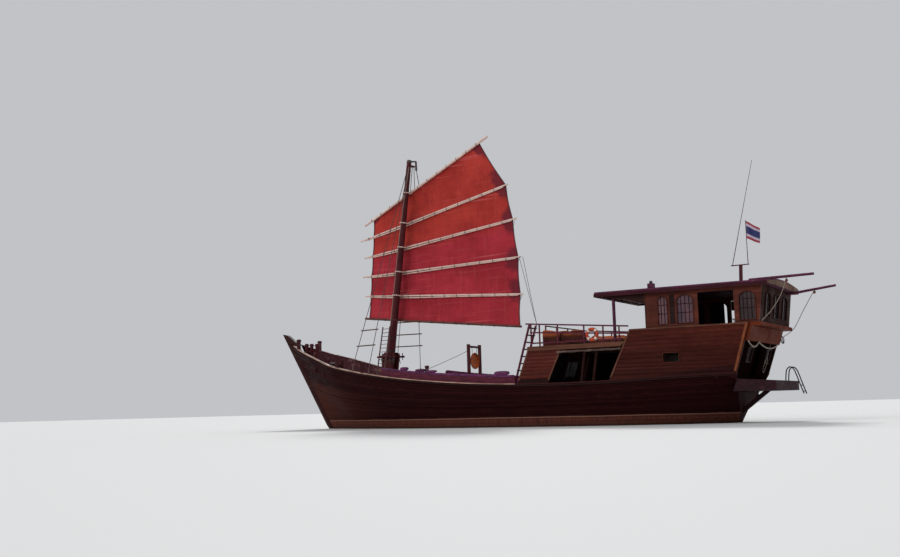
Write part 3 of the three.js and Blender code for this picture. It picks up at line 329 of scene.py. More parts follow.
def addUv(piece, u, v):
    # the grid's own u and v for each point of the slab's outer and inner face, copied to the face corners
    mesh = piece.data
    uv = np.tile(np.stack([u, v], -1).reshape(-1, 2), (2, 1))
    index = np.zeros(len(mesh.loops), np.int32)
    mesh.loops.foreach_get("vertex_index", index)
    mesh.uv_layers.new(name="cloth").data.foreach_set("uv", uv[index].astype(np.float32).ravel())


def seeded(seed, count):
    # numbers from 0 to 1, the same ones each run
    return np.random.default_rng(seed).random(count)


# materials

def tint(r, g, b):
    # screen colour 0..255 to linear light
    c = np.array([r, g, b]) / 255.0
    return (*np.where(c <= 0.04045, c / 12.92, ((c + 0.055) / 1.055) ** 2.4).tolist(), 1.0)


finishes = {}


class Finish:
    # a material's node tree with short ways to add to it; done keeps the material in finishes, under its name

    def __init__(self, name, roughness=0.6, metallic=0.0, sheen=0.0, specular=0.5):
        self.material = bpy.data.materials.new(name)
        self.material.use_nodes = True
        self.tree = self.material.node_tree
        self.shader = self.tree.nodes["Principled BSDF"]
        self.shader.inputs["Roughness"].default_value = roughness
        self.shader.inputs["Metallic"].default_value = metallic
        self.shader.inputs["Sheen Weight"].default_value = sheen
        self.shader.inputs["Specular IOR Level"].default_value = specular
        source = self.node("ShaderNodeTexCoord")
        self.place, self.facing = source.outputs["Object"], source.outputs["Normal"]

    def node(self, kind, **values):
        made = self.tree.nodes.new(kind)
        for key, value in values.items():
            setattr(made, key, value)
        return made

    def put(self, value, socket):
        if isinstance(value, bpy.types.NodeSocket):
            self.tree.links.new(value, socket)
        else:
            socket.default_value = value

    def stretched(self, scale):
        # the object's own coordinates, scaled along each axis
        m = self.node("ShaderNodeMapping")
        self.put(self.place, m.inputs["Vector"])
        m.inputs["Scale"].default_value = scale
        return m.outputs["Vector"]

    def noise(self, scale=(1, 1, 1), size=1.0, detail=4.0, rough=0.55):
        n = self.node("ShaderNodeTexNoise")
        self.put(self.stretched(scale), n.inputs["Vector"])
        n.inputs["Scale"].default_value = size
        n.inputs["Detail"].default_value = detail
        n.inputs["Roughness"].default_value = rough
        return n.outputs["Fac"]

    def maths(self, kind, a, b=0.0, c=0.0):
        n = self.node("ShaderNodeMath", operation=kind)
        for value, socket in zip((a, b, c), n.inputs):
            self.put(value, socket)
        return n.outputs[0]

    def times(self, a, b):
        return self.maths("MULTIPLY", a, b)

    def plus(self, a, b):
        return self.maths("ADD", a, b)

    def minus(self, a, b):
        return self.maths("SUBTRACT", a, b)

    def step(self, value, low, high, to0=0.0, to1=1.0):
        # eases from to0 to to1 as value goes from low to high
        n = self.node("ShaderNodeMapRange", interpolation_type="SMOOTHSTEP")
        keys = ("Value", "From Min", "From Max", "To Min", "To Max")
        for key, given in zip(keys, (value, low, high, to0, to1)):
            self.put(given, n.inputs[key])
        return n.outputs["Result"]

    def mix(self, amount, a, b):
        n = self.node("ShaderNodeMix", data_type="RGBA")
        self.put(amount, n.inputs[0])
        self.put(a, n.inputs[6])
        self.put(b, n.inputs[7])
        return n.outputs[2]

    def over(self, colour, paint, value, low, high, most=1.0, least=0.0):
        # lays paint over colour, from least to most of it as value goes from low to high
        return self.mix(self.step(value, low, high, least, most), colour, paint)

    def axis(self, letter, source=None):
        # X, Y or Z of the object's coordinates, or of another vector
        s = self.node("ShaderNodeSeparateXYZ")
        self.put(source or self.place, s.inputs[0])
        return s.outputs[letter]

    def attribute(self, name):
        return self.node("ShaderNodeAttribute", attribute_name=name).outputs["Fac"]

    def uv(self, letter):
        return self.axis(letter, self.node("ShaderNodeUVMap", uv_map="cloth").outputs[0])

    def boards(self, letter, width, seam=0.05):
        # which board a point is on, and how near it is to that board's edge
        along = self.maths("DIVIDE", self.axis(letter), width)
        inBoard = self.maths("FRACT", along)
        edge = self.maths("ABSOLUTE", self.minus(inBoard, 0.5))
        number = self.node("ShaderNodeTexWhiteNoise", noise_dimensions="1D")
        self.put(self.maths("FLOOR", along), number.inputs["W"])
        return number.outputs["Value"], self.step(edge, 0.5 - seam, 0.5)

    def done(self, colour, height=None, depth=0.01, roughness=None):
        self.put(colour, self.shader.inputs["Base Color"])
        if height is not None:
            b = self.node("ShaderNodeBump")
            b.inputs["Strength"].default_value = 0.6
            b.inputs["Distance"].default_value = depth
            self.put(height, b.inputs["Height"])
            self.put(b.outputs["Normal"], self.shader.inputs["Normal"])
        if roughness is not None:
            self.put(roughness, self.shader.inputs["Roughness"])
        finishes[self.material.name] = self.material


def boardedWood(name, pale, mid, dark, boards=None, grain=(0.5, 9, 9), gloss=0.5, weather=0.35, shine=0.1,
                tones=False, band=None, shade=None):
    # long grain, a tone for each board, weathered patches, dark seams; shade darkens between two places along
    # an axis, and band paints what lies below a sloping line
    f = Finish(name, roughness=gloss, specular=shine)
    fibre = f.noise(grain, 2.2, 6.0, 0.62)
    patch = f.noise((0.35, 0.8, 1.3), 1.6, 5.0, 0.6)
    streak = f.noise((3.5, 3.5, 0.35), 2.0, 4.0, 0.6)
    colour = f.mix(f.step(fibre, 0.3, 0.72), mid, pale)
    colour = f.over(colour, dark, patch, 0.35, 0.75, weather)
    colour = f.over(colour, dark, streak, 0.56, 0.8, weather)
    height = f.times(fibre, 0.25)
    if tones:
        colour = f.over(colour, dark, f.attribute("tone"), 0.0, 1.0, 0.25)
    if boards:
        number, seam = f.boards(*boards)
        colour = f.over(colour, dark, number, 0.0, 1.0, 0.4)
        colour = f.over(colour, tint(14, 8, 7), seam, 0.0, 1.0, 0.5)
        height = f.minus(height, seam)
    if shade:
        letter, start, end, amount = shade
        colour = f.over(colour, dark, f.axis(letter), start, end, amount)
    if band:
        line = f.maths("MULTIPLY_ADD", f.axis("X"), band["slope"], band["at"])
        under = f.step(f.minus(f.axis("Z"), line), 0.012, -0.012)
        colour = f.mix(under, colour, f.mix(f.step(fibre, 0.3, 0.72), *band["paint"]))
    rough = f.step(patch, 0.3, 0.8, gloss - 0.08, min(gloss + 0.25, 0.95))
    f.done(colour, height, 0.006, rough)


topside = (tint(37, 12, 14), tint(53, 20, 20))


def hullPaintFinish():
    # dark topsides with a tone for each strake, a lighter brown painted low at the bow as painted light where
    # the light falls on it, a red-brown boot top, salt and grime
    f = Finish("hullPaint", roughness=0.6, specular=0.02)
    z, x = f.axis("Z"), f.axis("X")
    patch = f.noise((0.25, 0.6, 1.2), 1.8, 6.0, 0.6)
    fibre = f.noise((0.4, 8, 8), 2.4, 6.0, 0.62)
    runs = f.noise((4.5, 4.5, 0.25), 1.8, 4.0, 0.55)
    colour = f.mix(f.step(fibre, 0.3, 0.75), *topside)
    colour = f.over(colour, tint(20, 5, 7), f.attribute("tone"), 0, 1, 0.45)
    # painted light: the browner, lighter patch where light falls on the bow fades in from amidships to the
    # stem, below a line that climbs with the wale, mottled by the patch noise
    line = f.maths("MULTIPLY_ADD", x, 0.16, 0.5)
    bow = f.times(f.step(x, 5.0, 11.0), f.step(f.minus(z, line), 0.25, -0.15))
    bow = f.times(bow, f.step(patch, 0.2, 0.65, 0.6, 1.0))
    colour = f.mix(f.times(bow, 0.6), colour, tint(78, 42, 33))
    colour = f.over(colour, tint(76, 42, 38), runs, 0.6, 0.82, 0.16)
    wear = f.times(f.step(patch, 0.58, 0.72), f.step(fibre, 0.5, 0.62))
    colour = f.mix(f.times(wear, 0.18), colour, tint(96, 54, 46))
    # by height, with a wavering edge: slime at the water, the boot top, a pale line, then the topsides
    edge = f.plus(z, f.step(patch, 0.2, 0.8, -0.012, 0.012))
    boot = f.mix(f.step(runs, 0.4, 0.8), tint(92, 51, 42), tint(62, 34, 30))
    aboveBoot = f.mix(f.step(edge, 0.41, 0.425), tint(128, 94, 78), colour)
    colour = f.mix(f.step(edge, 0.37, 0.385), boot, aboveBoot)
    colour = f.over(colour, tint(30, 34, 26), edge, 0.02, 0.2, 0.0, 0.55)
    height = f.plus(f.times(fibre, 0.3), f.times(patch, 0.4))
    f.done(colour, height, 0.006, f.step(patch, 0.3, 0.75, 0.5, 0.8))


def hullSolidFinish():
    # teak where the surface faces up, topside paint everywhere else
    f = Finish("hullSolid", roughness=0.7, specular=0.05)
    fibre = f.noise((0.4, 8, 8), 2.4, 6.0, 0.62)
    number, seam = f.boards("Y", 0.12, 0.04)
    teak = f.mix(f.step(fibre, 0.3, 0.72), tint(122, 88, 64), tint(150, 116, 88))
    teak = f.over(teak, tint(78, 54, 42), number, 0.0, 1.0, 0.4)
    teak = f.over(teak, tint(14, 8, 7), seam, 0.0, 1.0, 0.75)
    up = f.step(f.axis("Z", f.facing), 0.6, 0.85)
    f.done(f.mix(up, f.mix(f.step(fibre, 0.3, 0.75), *topside), teak), fibre, 0.004)


def bulwarkFinish():
    # dusty purple paint with rubbed patches, darker aft of the stair, topside paint on what faces outboard
    f = Finish("bulwarkPaint", roughness=0.6, specular=0.1)
    fibre = f.noise((0.5, 9, 9), 2.4, 6.0, 0.6)
    patch = f.noise((1.0, 1.0, 1.5), 2.2, 6.0, 0.62)
    colour = f.mix(f.step(fibre, 0.3, 0.72), tint(62, 30, 36), tint(92, 52, 58))
    colour = f.over(colour, tint(150, 112, 108), patch, 0.5, 0.72, 0.75)
    colour = f.over(colour, tint(40, 19, 24), patch, 0.2, 0.42, 0.0, 0.6)
    colour = f.over(colour, topside[1], f.axis("X"), -1.4, -2.4, 0.9)
    outboard = f.times(f.maths("SIGN", f.axis("Y")), f.axis("Y", f.facing))
    colour = f.over(colour, topside[1], outboard, 0.3, 0.4)
    f.done(colour, fibre, 0.004, f.step(patch, 0.3, 0.7, 0.5, 0.8))


def paintFinish(name, mid, worn, dark, gloss=0.5, wear=0.55):
    # brushed paint, faded above and rubbed through in patches
    f = Finish(name, roughness=gloss, specular=0.15)
    brush = f.noise((1, 7, 7), 2.6, 5.0, 0.6)
    patch = f.noise((1.4, 1.4, 1.9), 2.4, 6.0, 0.65)
    colour = f.mix(f.step(brush, 0.3, 0.72), dark, mid)
    colour = f.over(colour, worn, patch, 0.55, 0.75, wear)
    f.done(colour, f.plus(brush, patch), 0.004, f.step(patch, 0.35, 0.7, gloss - 0.05, gloss + 0.3))


def metalFinish(name, mid, dark, metallic, gloss=0.45):
    # cast or drawn metal, mottled in large patches and fine grains
    f = Finish(name, roughness=gloss, metallic=metallic)
    patch = f.noise((3, 3, 3), 4.0, 6.0, 0.62)
    fine = f.noise((1, 1, 1), 40.0, 3.0, 0.5)
    colour = f.mix(f.step(patch, 0.35, 0.7), dark, mid)
    height = f.plus(patch, f.times(fine, 0.4))
    f.done(colour, height, 0.003, f.step(patch, 0.3, 0.7, gloss, gloss + 0.25))


def ropeFinish(name, mid, dark):
    # lay of the strands as slanting bands, with fuzz between
    f = Finish(name, roughness=0.85, sheen=0.2)
    wave = f.node("ShaderNodeTexWave", bands_direction="DIAGONAL")
    f.put(f.place, wave.inputs["Vector"])
    wave.inputs["Scale"].default_value = 18.0
    wave.inputs["Distortion"].default_value = 1.0
    fuzz = f.noise((1, 1, 1), 60.0, 3.0)
    colour = f.mix(wave.outputs["Fac"], dark, mid)
    colour = f.over(colour, dark, fuzz, 0.4, 0.8, 0.4)
    f.done(colour, f.plus(wave.outputs["Fac"], fuzz), 0.004)


def clothFinish(name, mid, dark, shadedBelow=None):
    # plain weave from two crossed waves, faded in patches; a painted shade can darken it from a high level to
    # a low one, below a lit top
    f = Finish(name, roughness=0.85, sheen=0.1, specular=0.2)
    patch = f.noise((1, 1, 1), 2.2, 5.0)
    threads, weave = 260.0, []
    for scale in ((threads, 0, threads * 0.4), (0, threads, threads)):
        wave = f.node("ShaderNodeTexWave", bands_direction="DIAGONAL")
        f.put(f.stretched(tuple(max(s, 1.0) / 20 for s in scale)), wave.inputs["Vector"])
        wave.inputs["Scale"].default_value = 20.0
        weave.append(wave.outputs["Fac"])
    colour = f.mix(f.step(patch, 0.3, 0.72), dark, mid)
    # painted shade: darker below the high level, as under a lit top
    if shadedBelow:
        colour = f.mix(f.step(f.axis("Z"), shadedBelow["low"], shadedBelow["high"]), shadedBelow["paint"], colour)
    f.done(colour, f.plus(weave[0], weave[1]), 0.002)


def paneFinish(name, pale, dark, low, high):
    # dusty glass: a film of salt, its cover running from low to high with the dust
    f = Finish(name, roughness=0.3, specular=0.3)
    dust = f.noise((1, 1, 0.6), 1.6, 4.0, 0.5)
    f.put(f.step(dust, 0.3, 0.75, low, high), f.shader.inputs["Alpha"])
    f.material.surface_render_method = "BLENDED"
    f.done(f.mix(f.step(dust, 0.3, 0.7), dark, pale), dust, 0.001)


hullPaintFinish()
bulwarkFinish()
hullSolidFinish()
zBoards, planked = ("Z", 0.15, 0.03), ("Y", 0.12, 0.04)
woods = {  # pale, middle and dark tone, then what sets the wood apart
    "keelPaint": ((64, 32, 28), (44, 21, 20), (24, 11, 11), {"gloss": 0.6}),
    "deckTeak": ((150, 116, 88), (122, 88, 64), (78, 54, 42), {"boards": planked, "gloss": 0.72}),
    "cabinMahogany": ((110, 52, 36), (86, 38, 28), (44, 18, 15), {"boards": zBoards, "gloss": 0.45}),
    # painted shade: the wheelhouse side darkens fore of its front wall, on the knee in the shadow under the
    # roof's fore overhang
    "shelteredWood": ((110, 52, 36), (86, 38, 28), (32, 13, 12),
                      {"boards": zBoards, "gloss": 0.45, "shade": ("X", -7.66, -7.5, 0.85)}),
    "openingWood": ((46, 18, 16), (32, 12, 11), (18, 7, 7), {"shine": 0.05}),
    "plainMahogany": ((96, 46, 32), (70, 30, 22), (40, 17, 14), {"gloss": 0.45}),
    "saloonMahogany": ((98, 40, 30), (76, 29, 22), (42, 15, 13),
                       {"gloss": 0.45, "tones": True, "shine": 0.06}),
    "poopMahogany": ((90, 36, 25), (69, 26, 19), (36, 12, 11),
                     {"gloss": 0.45, "weather": 0.4, "tones": True, "shine": 0.06,
                      "shade": ("Z", 3.5, 2.1, 0.5),
                      "band": {"slope": -0.1137, "at": 0.99, "paint": topside}}),
    # painted shade: the transom's near-black tones stand for the shadow it lies in, below the gallery and
    # facing away from the light
    "transomWood": ((30, 12, 10), (20, 8, 7), (11, 5, 5),
                    {"boards": ("Z", 0.16, 0.03), "gloss": 0.6, "shine": 0.0}),
    # painted shade: the wheelhouse's aft wall is darkened for the shade on faces turned away from the light
    "sternWood": ((60, 29, 22), (42, 20, 15), (23, 10, 8), {"boards": zBoards, "shine": 0.02}),
    "darkTrim": ((46, 21, 19), (31, 14, 13), (18, 8, 8), {}),
    "galleryWood": ((112, 51, 30), (86, 37, 23), (48, 19, 13), {"shine": 0.02}),
    "postWood": ((136, 74, 44), (108, 56, 34), (64, 31, 20), {"grain": (9, 9, 0.5)}),
    # partly wear and partly a painted highlight: the pale cap edge stands for worn paint and for the sunlit
    # edge
    "wornEdge": ((218, 184, 162), (168, 124, 108), (72, 38, 36), {"gloss": 0.7, "weather": 0.8}),
    "frameWood": ((112, 70, 52), (84, 48, 37), (50, 27, 21), {}),
    "fasciaWood": ((72, 36, 42), (52, 25, 31), (32, 16, 20), {"shine": 0.02}),
    "gableWood": ((132, 104, 86), (104, 74, 60), (64, 40, 34), {"boards": ("Y", 0.2, 0.03), "gloss": 0.6}),
    "mastTimber": ((94, 38, 42), (67, 25, 30), (36, 13, 18), {"grain": (9, 9, 0.5)}),
    "paleSpar": ((238, 216, 204), (212, 178, 166), (140, 96, 88), {"gloss": 0.6, "weather": 0.3}),
    "darkSpar": ((124, 80, 72), (90, 51, 47), (48, 25, 25), {"gloss": 0.6}),
    "rungWood": ((112, 88, 84), (84, 62, 60), (54, 37, 37), {"gloss": 0.7}),
}
paints = {  # sound, worn and dark tone
    "maroonPaint": ((102, 34, 54), (148, 86, 102), (64, 20, 36), {}),
    "roofPaint": ((98, 42, 70), (146, 98, 118), (62, 24, 44), {"gloss": 0.6, "wear": 0.4}),
    "platformPaint": ((56, 26, 34), (92, 60, 66), (34, 15, 20), {"gloss": 0.6}),
    "ringShell": ((196, 78, 44), (214, 132, 100), (160, 56, 34), {"wear": 0.3}),
    "ringBand": ((226, 214, 206), (190, 160, 146), (206, 188, 178), {"wear": 0.3}),
}
metals = {"bronzeCast": ((206, 98, 18), (140, 60, 14), {"metallic": 0.45}),
          "ironTube": ((74, 66, 64), (40, 32, 32), {"metallic": 0.6})}
cordage = {"ropeHemp": ((168, 150, 132), (104, 88, 78), {}),
           "ropeDark": ((96, 78, 76), (52, 40, 42), {})}
cloths = {
    "seatCover": ((176, 92, 42), (124, 58, 28), {}),
    # painted shade: the hung pads darken towards their lower part, below their lit tops
    "hungCover": ((176, 94, 46), (136, 66, 32),
                  {"shadedBelow": {"low": 3.7, "high": 3.84, "paint": tint(74, 32, 22)}}),
    "padCover": ((118, 54, 104), (66, 27, 52), {}),
    "rolledCanvas": ((116, 92, 80), (76, 54, 47), {}),
    "darkCanvas": ((30, 15, 14), (18, 9, 9), {}),
}
panes = {"paneGlass": ((116, 74, 80), (76, 53, 66), {"low": 0.82, "high": 0.94}),
         "paneDark": ((58, 34, 35), (34, 19, 21), {"low": 0.85, "high": 0.95})}
for make, table in ((boardedWood, woods), (paintFinish, paints), (metalFinish, metals),
                    (ropeFinish, cordage), (clothFinish, cloths), (paneFinish, panes)):
    for name, (*tones, more) in table.items():
        make(name, *(tint(*t) for t in tones), **more)
report("materials")


# hull lines: the solid's table of stations, without its deck line

stationNames = ["at", "sheer", "keel", "wale", "low", "bilge", "water", "boot", "side", "top"]
stationTable = np.array([
    [0.0, 1.96, -0.3, 1.1, 0.1, 0.1, 0.14, 0.5, 1.3, 2.25],
    [0.05, 1.94, -0.8, 1.06, 0.14, 0.5, 1.15, 1.6, 2.05, 2.5],
    [0.12, 1.9, -1.05, 1.01, 0.4, 1.25, 1.95, 2.25, 2.5, 2.74],
    [0.25, 1.81, -1.2, 0.95, 0.95, 2.0, 2.6, 2.75, 2.87, 3.0],
    [0.42, 1.85, -1.3, 0.92, 1.35, 2.4, 2.88, 2.98, 3.06, 3.15],
    [0.58, 2.1, -1.3, 0.97, 1.2, 2.25, 2.8, 2.93, 3.03, 3.18],
    [0.72, 2.5, -1.25, 1.12, 0.8, 1.65, 2.3, 2.5, 2.68, 2.92],
    [0.84, 3.05, -1.15, 1.38, 0.38, 0.95, 1.5, 1.72, 1.95, 2.32],
    [0.9, 3.6, -1.0, 1.6, 0.2, 0.52, 0.92, 1.1, 1.32, 1.72],
    [0.95, 4.05, -0.85, 1.85, 0.12, 0.25, 0.42, 0.52, 0.66, 0.98],
    [1.0, 4.75, -0.55, 2.2, 0.08, 0.08, 0.08, 0.09, 0.1, 0.12],
])
lines = {"sternAt": -10.5, "sternRake": -0.33, "stemAt": 10.55, "stemRake": 0.62, "boot": 0.5,
         "bilgeLow": 0.72, "bilgeHigh": 0.35, "keelHalf": 0.08,
         "waleHigh": 0.12, "waleProud": 0.05, "capHigh": 0.06, "bulwarkThick": 0.09}


def hullColumn(name, s):
    # a smooth cubic through a column of the table, its slopes from the neighbours on each side
    at, value = stationTable[:, 0], stationTable[:, stationNames.index(name)]
    last = len(at) - 1
    low, high = np.maximum(np.arange(last + 1) - 1, 0), np.minimum(np.arange(last + 1) + 1, last)
    slope = (value[high] - value[low]) / (at[high] - at[low])
    i = np.clip(np.searchsorted(at, s, side="right") - 1, 0, last - 1)
    w = at[i + 1] - at[i]
    t = (s - at[i]) / w
    return (value[i] * (2 * t ** 3 - 3 * t ** 2 + 1) + slope[i] * w * (t ** 3 - 2 * t ** 2 + t)
            + value[i + 1] * (3 * t ** 2 - 2 * t ** 3) + slope[i + 1] * w * (t ** 3 - t ** 2))


def raked(start, rake, level):
    # a plane that stands at start where the height is level, and leans by rake for each metre up
    return lambda z: start + rake * (z - level)


sternPlane = raked(lines["sternAt"], lines["sternRake"], 0.0)
stemPlane = raked(lines["stemAt"], lines["stemRake"], 0.0)


def hullX(s, z):
    # a share s of the way from the raked stern to the raked stem
    stern = sternPlane(z)
    return stern + (stemPlane(z) - stern) * s


def halfBreadth(s, z):
    # straight lines between the keel, two bilge heights, the waterline, boot top, wale and sheer
    c = {n: hullColumn(n, s) for n in stationNames[1:]}
    heights = [c["keel"], c["keel"] * lines["bilgeLow"], c["keel"] * lines["bilgeHigh"], 0.0, lines["boot"],
               c["wale"], c["sheer"]]
    widths = [lines["keelHalf"], c["low"], c["bilge"], c["water"], c["boot"], c["side"], c["top"]]
    y = widths[0]
    for k in range(len(heights) - 1):
        share = np.clip((z - heights[k]) / (heights[k + 1] - heights[k]), 0, 1)
        y = y + share * (widths[k + 1] - widths[k])
    return y


sheerS = np.linspace(0, 1, 201)
sheerZ = hullColumn("sheer", sheerS)
sheerX = hullX(sheerS, sheerZ)
sheerY = hullColumn("top", sheerS)
railZ = lambda x: np.interp(x, sheerX, sheerZ)
railY = lambda x: np.interp(x, sheerX, sheerY)
board = {"edge": 0.006, "round": 0.004, "sunk": 0.02, "nudge": 1e-3}


def strips(surface, rows, span, out, seam=0.004):
    # surface(u, z) gives points; each row is a board from its low line to its high line, raised along the
    # surface's normal, which is its step in u crossed with its step in z; extra, a number or a function of u,
    # adds to the raise
    parts, nudge = [], board["nudge"]
    u = np.linspace(*span)
    for low, high, extra in rows:
        z0, z1 = low(u) + seam / 2, high(u) - seam / 2
        levels = [z0, z0, z0 + board["edge"], z1 - board["edge"], z1, z1]
        face = out + (extra(u) if callable(extra) else extra) + 0 * u
        sunk, edge = 0 * u - board["sunk"], face - board["round"]
        ring = []
        for z, lift in zip(levels, [sunk, edge, face, face, edge, sunk]):
            alongU = surface(u + nudge, z) - surface(u - nudge, z)
            alongZ = surface(u, z + nudge) - surface(u, z - nudge)
            n = unit(np.cross(alongU, alongZ))
            n *= np.sign(n[:, 1:2] + 1e-9)  # outboard, to port
            ring.append(surface(u, z) + n * lift[:, None])
        parts.append(rings(np.stack(ring, 1)))
    return parts


planking = {"out": 0.022, "span": (0.0, 0.985, 120), "bottomRows": 7, "waterRows": 3, "lowRows": 3,
            "topRows": 8, "flare": 0.026, "flareAt": (0.78, 0.84), "belowCap": 0.002, "sharp": 50}


def hullStrakes(p):
    # strakes between lines of constant share of the height from one named line to the next
    keel, wale, sheer = (lambda s, n=n: hullColumn(n, s) for n in ("keel", "wale", "sheer"))
    half, cap = lines["waleHigh"] / 2, lines["capHigh"]
    flare = lambda s: p["flare"] * np.clip((s - p["flareAt"][0]) / (p["flareAt"][1] - p["flareAt"][0]), 0, 1)
    bands = [
        (lambda s: keel(s) * lines["bilgeLow"], lambda s: 0 * s, p["bottomRows"], 0.0),
        (lambda s: 0 * s, lambda s: 0 * s + lines["boot"], p["waterRows"], 0.0),
        (lambda s: 0 * s + lines["boot"], lambda s: wale(s) - half, p["lowRows"], 0.0),
        (lambda s: wale(s) - half, lambda s: wale(s) + half, 1, lines["waleProud"]),
        (lambda s: wale(s) + half, lambda s: sheer(s) - cap - p["belowCap"], p["topRows"], flare),
    ]
    rows = []
    for low, high, count, extra in bands:
        line = lambda k, a=low, b=high, n=count: (lambda s: a(s) + (b(s) - a(s)) * k / n)
        rows += [(line(k), line(k + 1), extra) for k in range(count)]
    surface = lambda s, z: xyz(hullX(s, z), halfBreadth(s, z), z)
    port = strips(surface, rows, p["span"], p["out"])
    addPiece("hullStrakes", bothSides(port), "hullPaint", sharp=p["sharp"],
             tones=np.tile(seeded(4, len(port)), 2))


hullStrakes(planking)


trim = {"strip": {"span": (0.0, 0.975, 140), "under": 0.045, "out": 0.034, "size": (0.03, 0.05)},
        "bead": {"span": (0.4, 0.972, 110), "under": 0.024, "out": 0.036, "size": (0.024, 0.044)},
        "frames": {"at": (5.9, 11.0, 0.75), "high": 0.75, "belowCap": 0.01, "inset": 0.035,
                   "size": (0.09, 0.06)}}


def bulwarkTrim(g):
    # rubbing strip under the cap, a pale bead along the cap's outer edge, its colour partly worn paint and
    # partly a painted highlight of the sunlit edge, and frames inside the bulwark
    strip, bead, f = g["strip"], g["bead"], g["frames"]
    s = np.linspace(*strip["span"])
    z = hullColumn("sheer", s) - lines["capHigh"] - strip["under"]
    path = xyz(hullX(s, z), halfBreadth(s, z) + strip["out"], z)
    part = sweep(path, softBox(*strip["size"]), ref=(0, 0, 1))
    addPiece("rubbingStrip", bothSides([part]), "darkTrim")
    s = np.linspace(*bead["span"])
    z = hullColumn("sheer", s)
    path = xyz(hullX(s, z), hullColumn("top", s) + bead["out"], z - bead["under"])
    part = sweep(path, softBox(*bead["size"]), ref=(0, 0, 1))
    addPiece("capBead", bothSides([part]), "wornEdge")
    ribs = []
    for x in np.arange(*f["at"]):
        top = railZ(x) - lines["capHigh"] - f["belowCap"]
        foot = top - f["high"]
        yTop = railY(x) - lines["bulwarkThick"] - f["inset"]
        yFoot = halfBreadth(np.interp(x, sheerX, sheerS), foot) - lines["bulwarkThick"] - f["inset"]
        ribs.append(bar((x, yFoot, foot), (x, yTop, top), *f["size"], ref=(0, 1, 0)))
    addPiece("bulwarkFrames", bothSides(ribs), "bulwarkPaint")


bulwarkTrim(trim)
report("hull")


# upper works

house = {"wallTop": ([-11.8, -10.5, -9, -6.5, -2.2], [2.37, 2.5, 2.66, 2.86, 2.98]), "poopTop": 3.82,
         "deckUnder": 3.22, "window": (-9.05, -8.41, 2.42, 2.8)}
poopFront = raked(-6.2, -0.46, 1.87)
houseFront = raked(-2.1, -0.35, 1.89)
openingFront = raked(-3.55, -0.44, 1.88)
doorRake = -0.35
doorWall = raked(-1.4785, doorRake, 0.0)


def wallY(x, z):
    # straight from the rail's half breadth up to the wall's at the poop's top
    low = railZ(x)
    t = (z - low) / (house["poopTop"] - low)
    return railY(x) * (1 - t) + np.interp(x, *house["wallTop"]) * t


siding = {"out": 0.02, "seam": 0.006, "foot": 2.0, "belowTop": 0.004, "belowRows": 3, "besideRows": 2,
          "aboveRows": 6, "panelRows": 8, "beside": 0.02, "ends": (0.002, 0.998), "panelEnds": (0.01, 0.99),
          "steps": 26, "panelSteps": 8}


def wallBoards(aft, fore, heights, u0, u1, count=siding["steps"]):
    # boards on the curved side between a raked aft and a raked fore edge
    def surface(u, z):
        x = aft(z) + (fore(z) - aft(z)) * u
        return xyz(x, wallY(x, z), z)
    level = lambda z: (lambda u: z + 0 * u)
    rows = [(level(a), level(b), 0.0) for a, b in zip(heights[:-1], heights[1:])]
    return strips(surface, rows, (u0, u1, count), siding["out"], siding["seam"])


def wallSiding(w):
    # poop boards round the cabin window, and the boards of the saloon's fore panel
    x0, x1, z0, z1 = house["window"]
    start, end = w["ends"]
    share = lambda x, z: (x - sternPlane(z)) / (poopFront(z) - sternPlane(z))
    below = wallBoards(sternPlane, poopFront, np.linspace(w["foot"], z0, w["belowRows"] + 1), start, end)
    beside, middle = [], np.linspace(z0, z1, w["besideRows"] + 1)
    for a, b in zip(middle[:-1], middle[1:]):
        m = (a + b) / 2
        beside += wallBoards(sternPlane, poopFront, [a, b], start, share(x0 - w["beside"], m))
        beside += wallBoards(sternPlane, poopFront, [a, b], share(x1 + w["beside"], m), end)
    heights = np.linspace(z1, house["poopTop"] - w["belowTop"], w["aboveRows"] + 1)
    poop = below + beside + wallBoards(sternPlane, poopFront, heights, start, end)
    addPiece("poopBoards", bothSides(poop), "poopMahogany",
             tones=np.tile(seeded(9, len(poop)), 2))
    heights = np.linspace(w["foot"], house["deckUnder"] - w["belowTop"], w["panelRows"] + 1)
    panel = wallBoards(openingFront, houseFront, heights, *w["panelEnds"], w["panelSteps"])
    addPiece("saloonBoards", bothSides(panel), "saloonMahogany",
             tones=np.tile(seeded(12, len(panel)), 2))


wallSiding(siding)


quarterPost = {"plane": sternPlane, "shift": 0.07, "low": 1.99, "high": 3.81, "out": 0.024,
               "size": (0.1, 0.05)}
rakedTimbers = [
    {"plane": poopFront, "shift": -0.04, "low": 1.92, "high": 3.78, "out": 0.016, "size": (0.07, 0.04)},
    {"plane": openingFront, "shift": 0.03, "low": 1.92, "high": 3.16, "out": 0.014, "size": (0.06, 0.04)},
    {"plane": houseFront, "shift": -0.05, "low": 1.95, "high": 3.2, "out": 0.014, "size": (0.08, 0.045)},
]
levelTimbers = [
    {"aft": -11.72, "fore": -7.1, "high": house["poopTop"] - 0.035, "out": 0.02, "size": (0.05, 0.06)},
    {"aft": -6.75, "fore": -2.62, "high": 3.25, "out": 0.045, "size": (0.05, 0.19)},
]
windowCasing = {"out": 0.02, "size": (0.03, 0.05), "steps": 8}


def rakedTimber(plane, shift, low, high, out, size, count=14):
    # a timber that follows a raked edge of the curved side
    z = np.linspace(low, high, count)
    x = plane(z) + shift
    return sweep(xyz(x, wallY(x, z) + out, z), softBox(*size), ref=(0, 1, 0.01))


def levelTimber(aft, fore, high, out, size, count=40):
    # a level timber that follows the curved side
    x = np.linspace(aft, fore, count)
    return sweep(xyz(x, wallY(x, high) + out, high), softBox(*size), ref=(0, 0, 1))


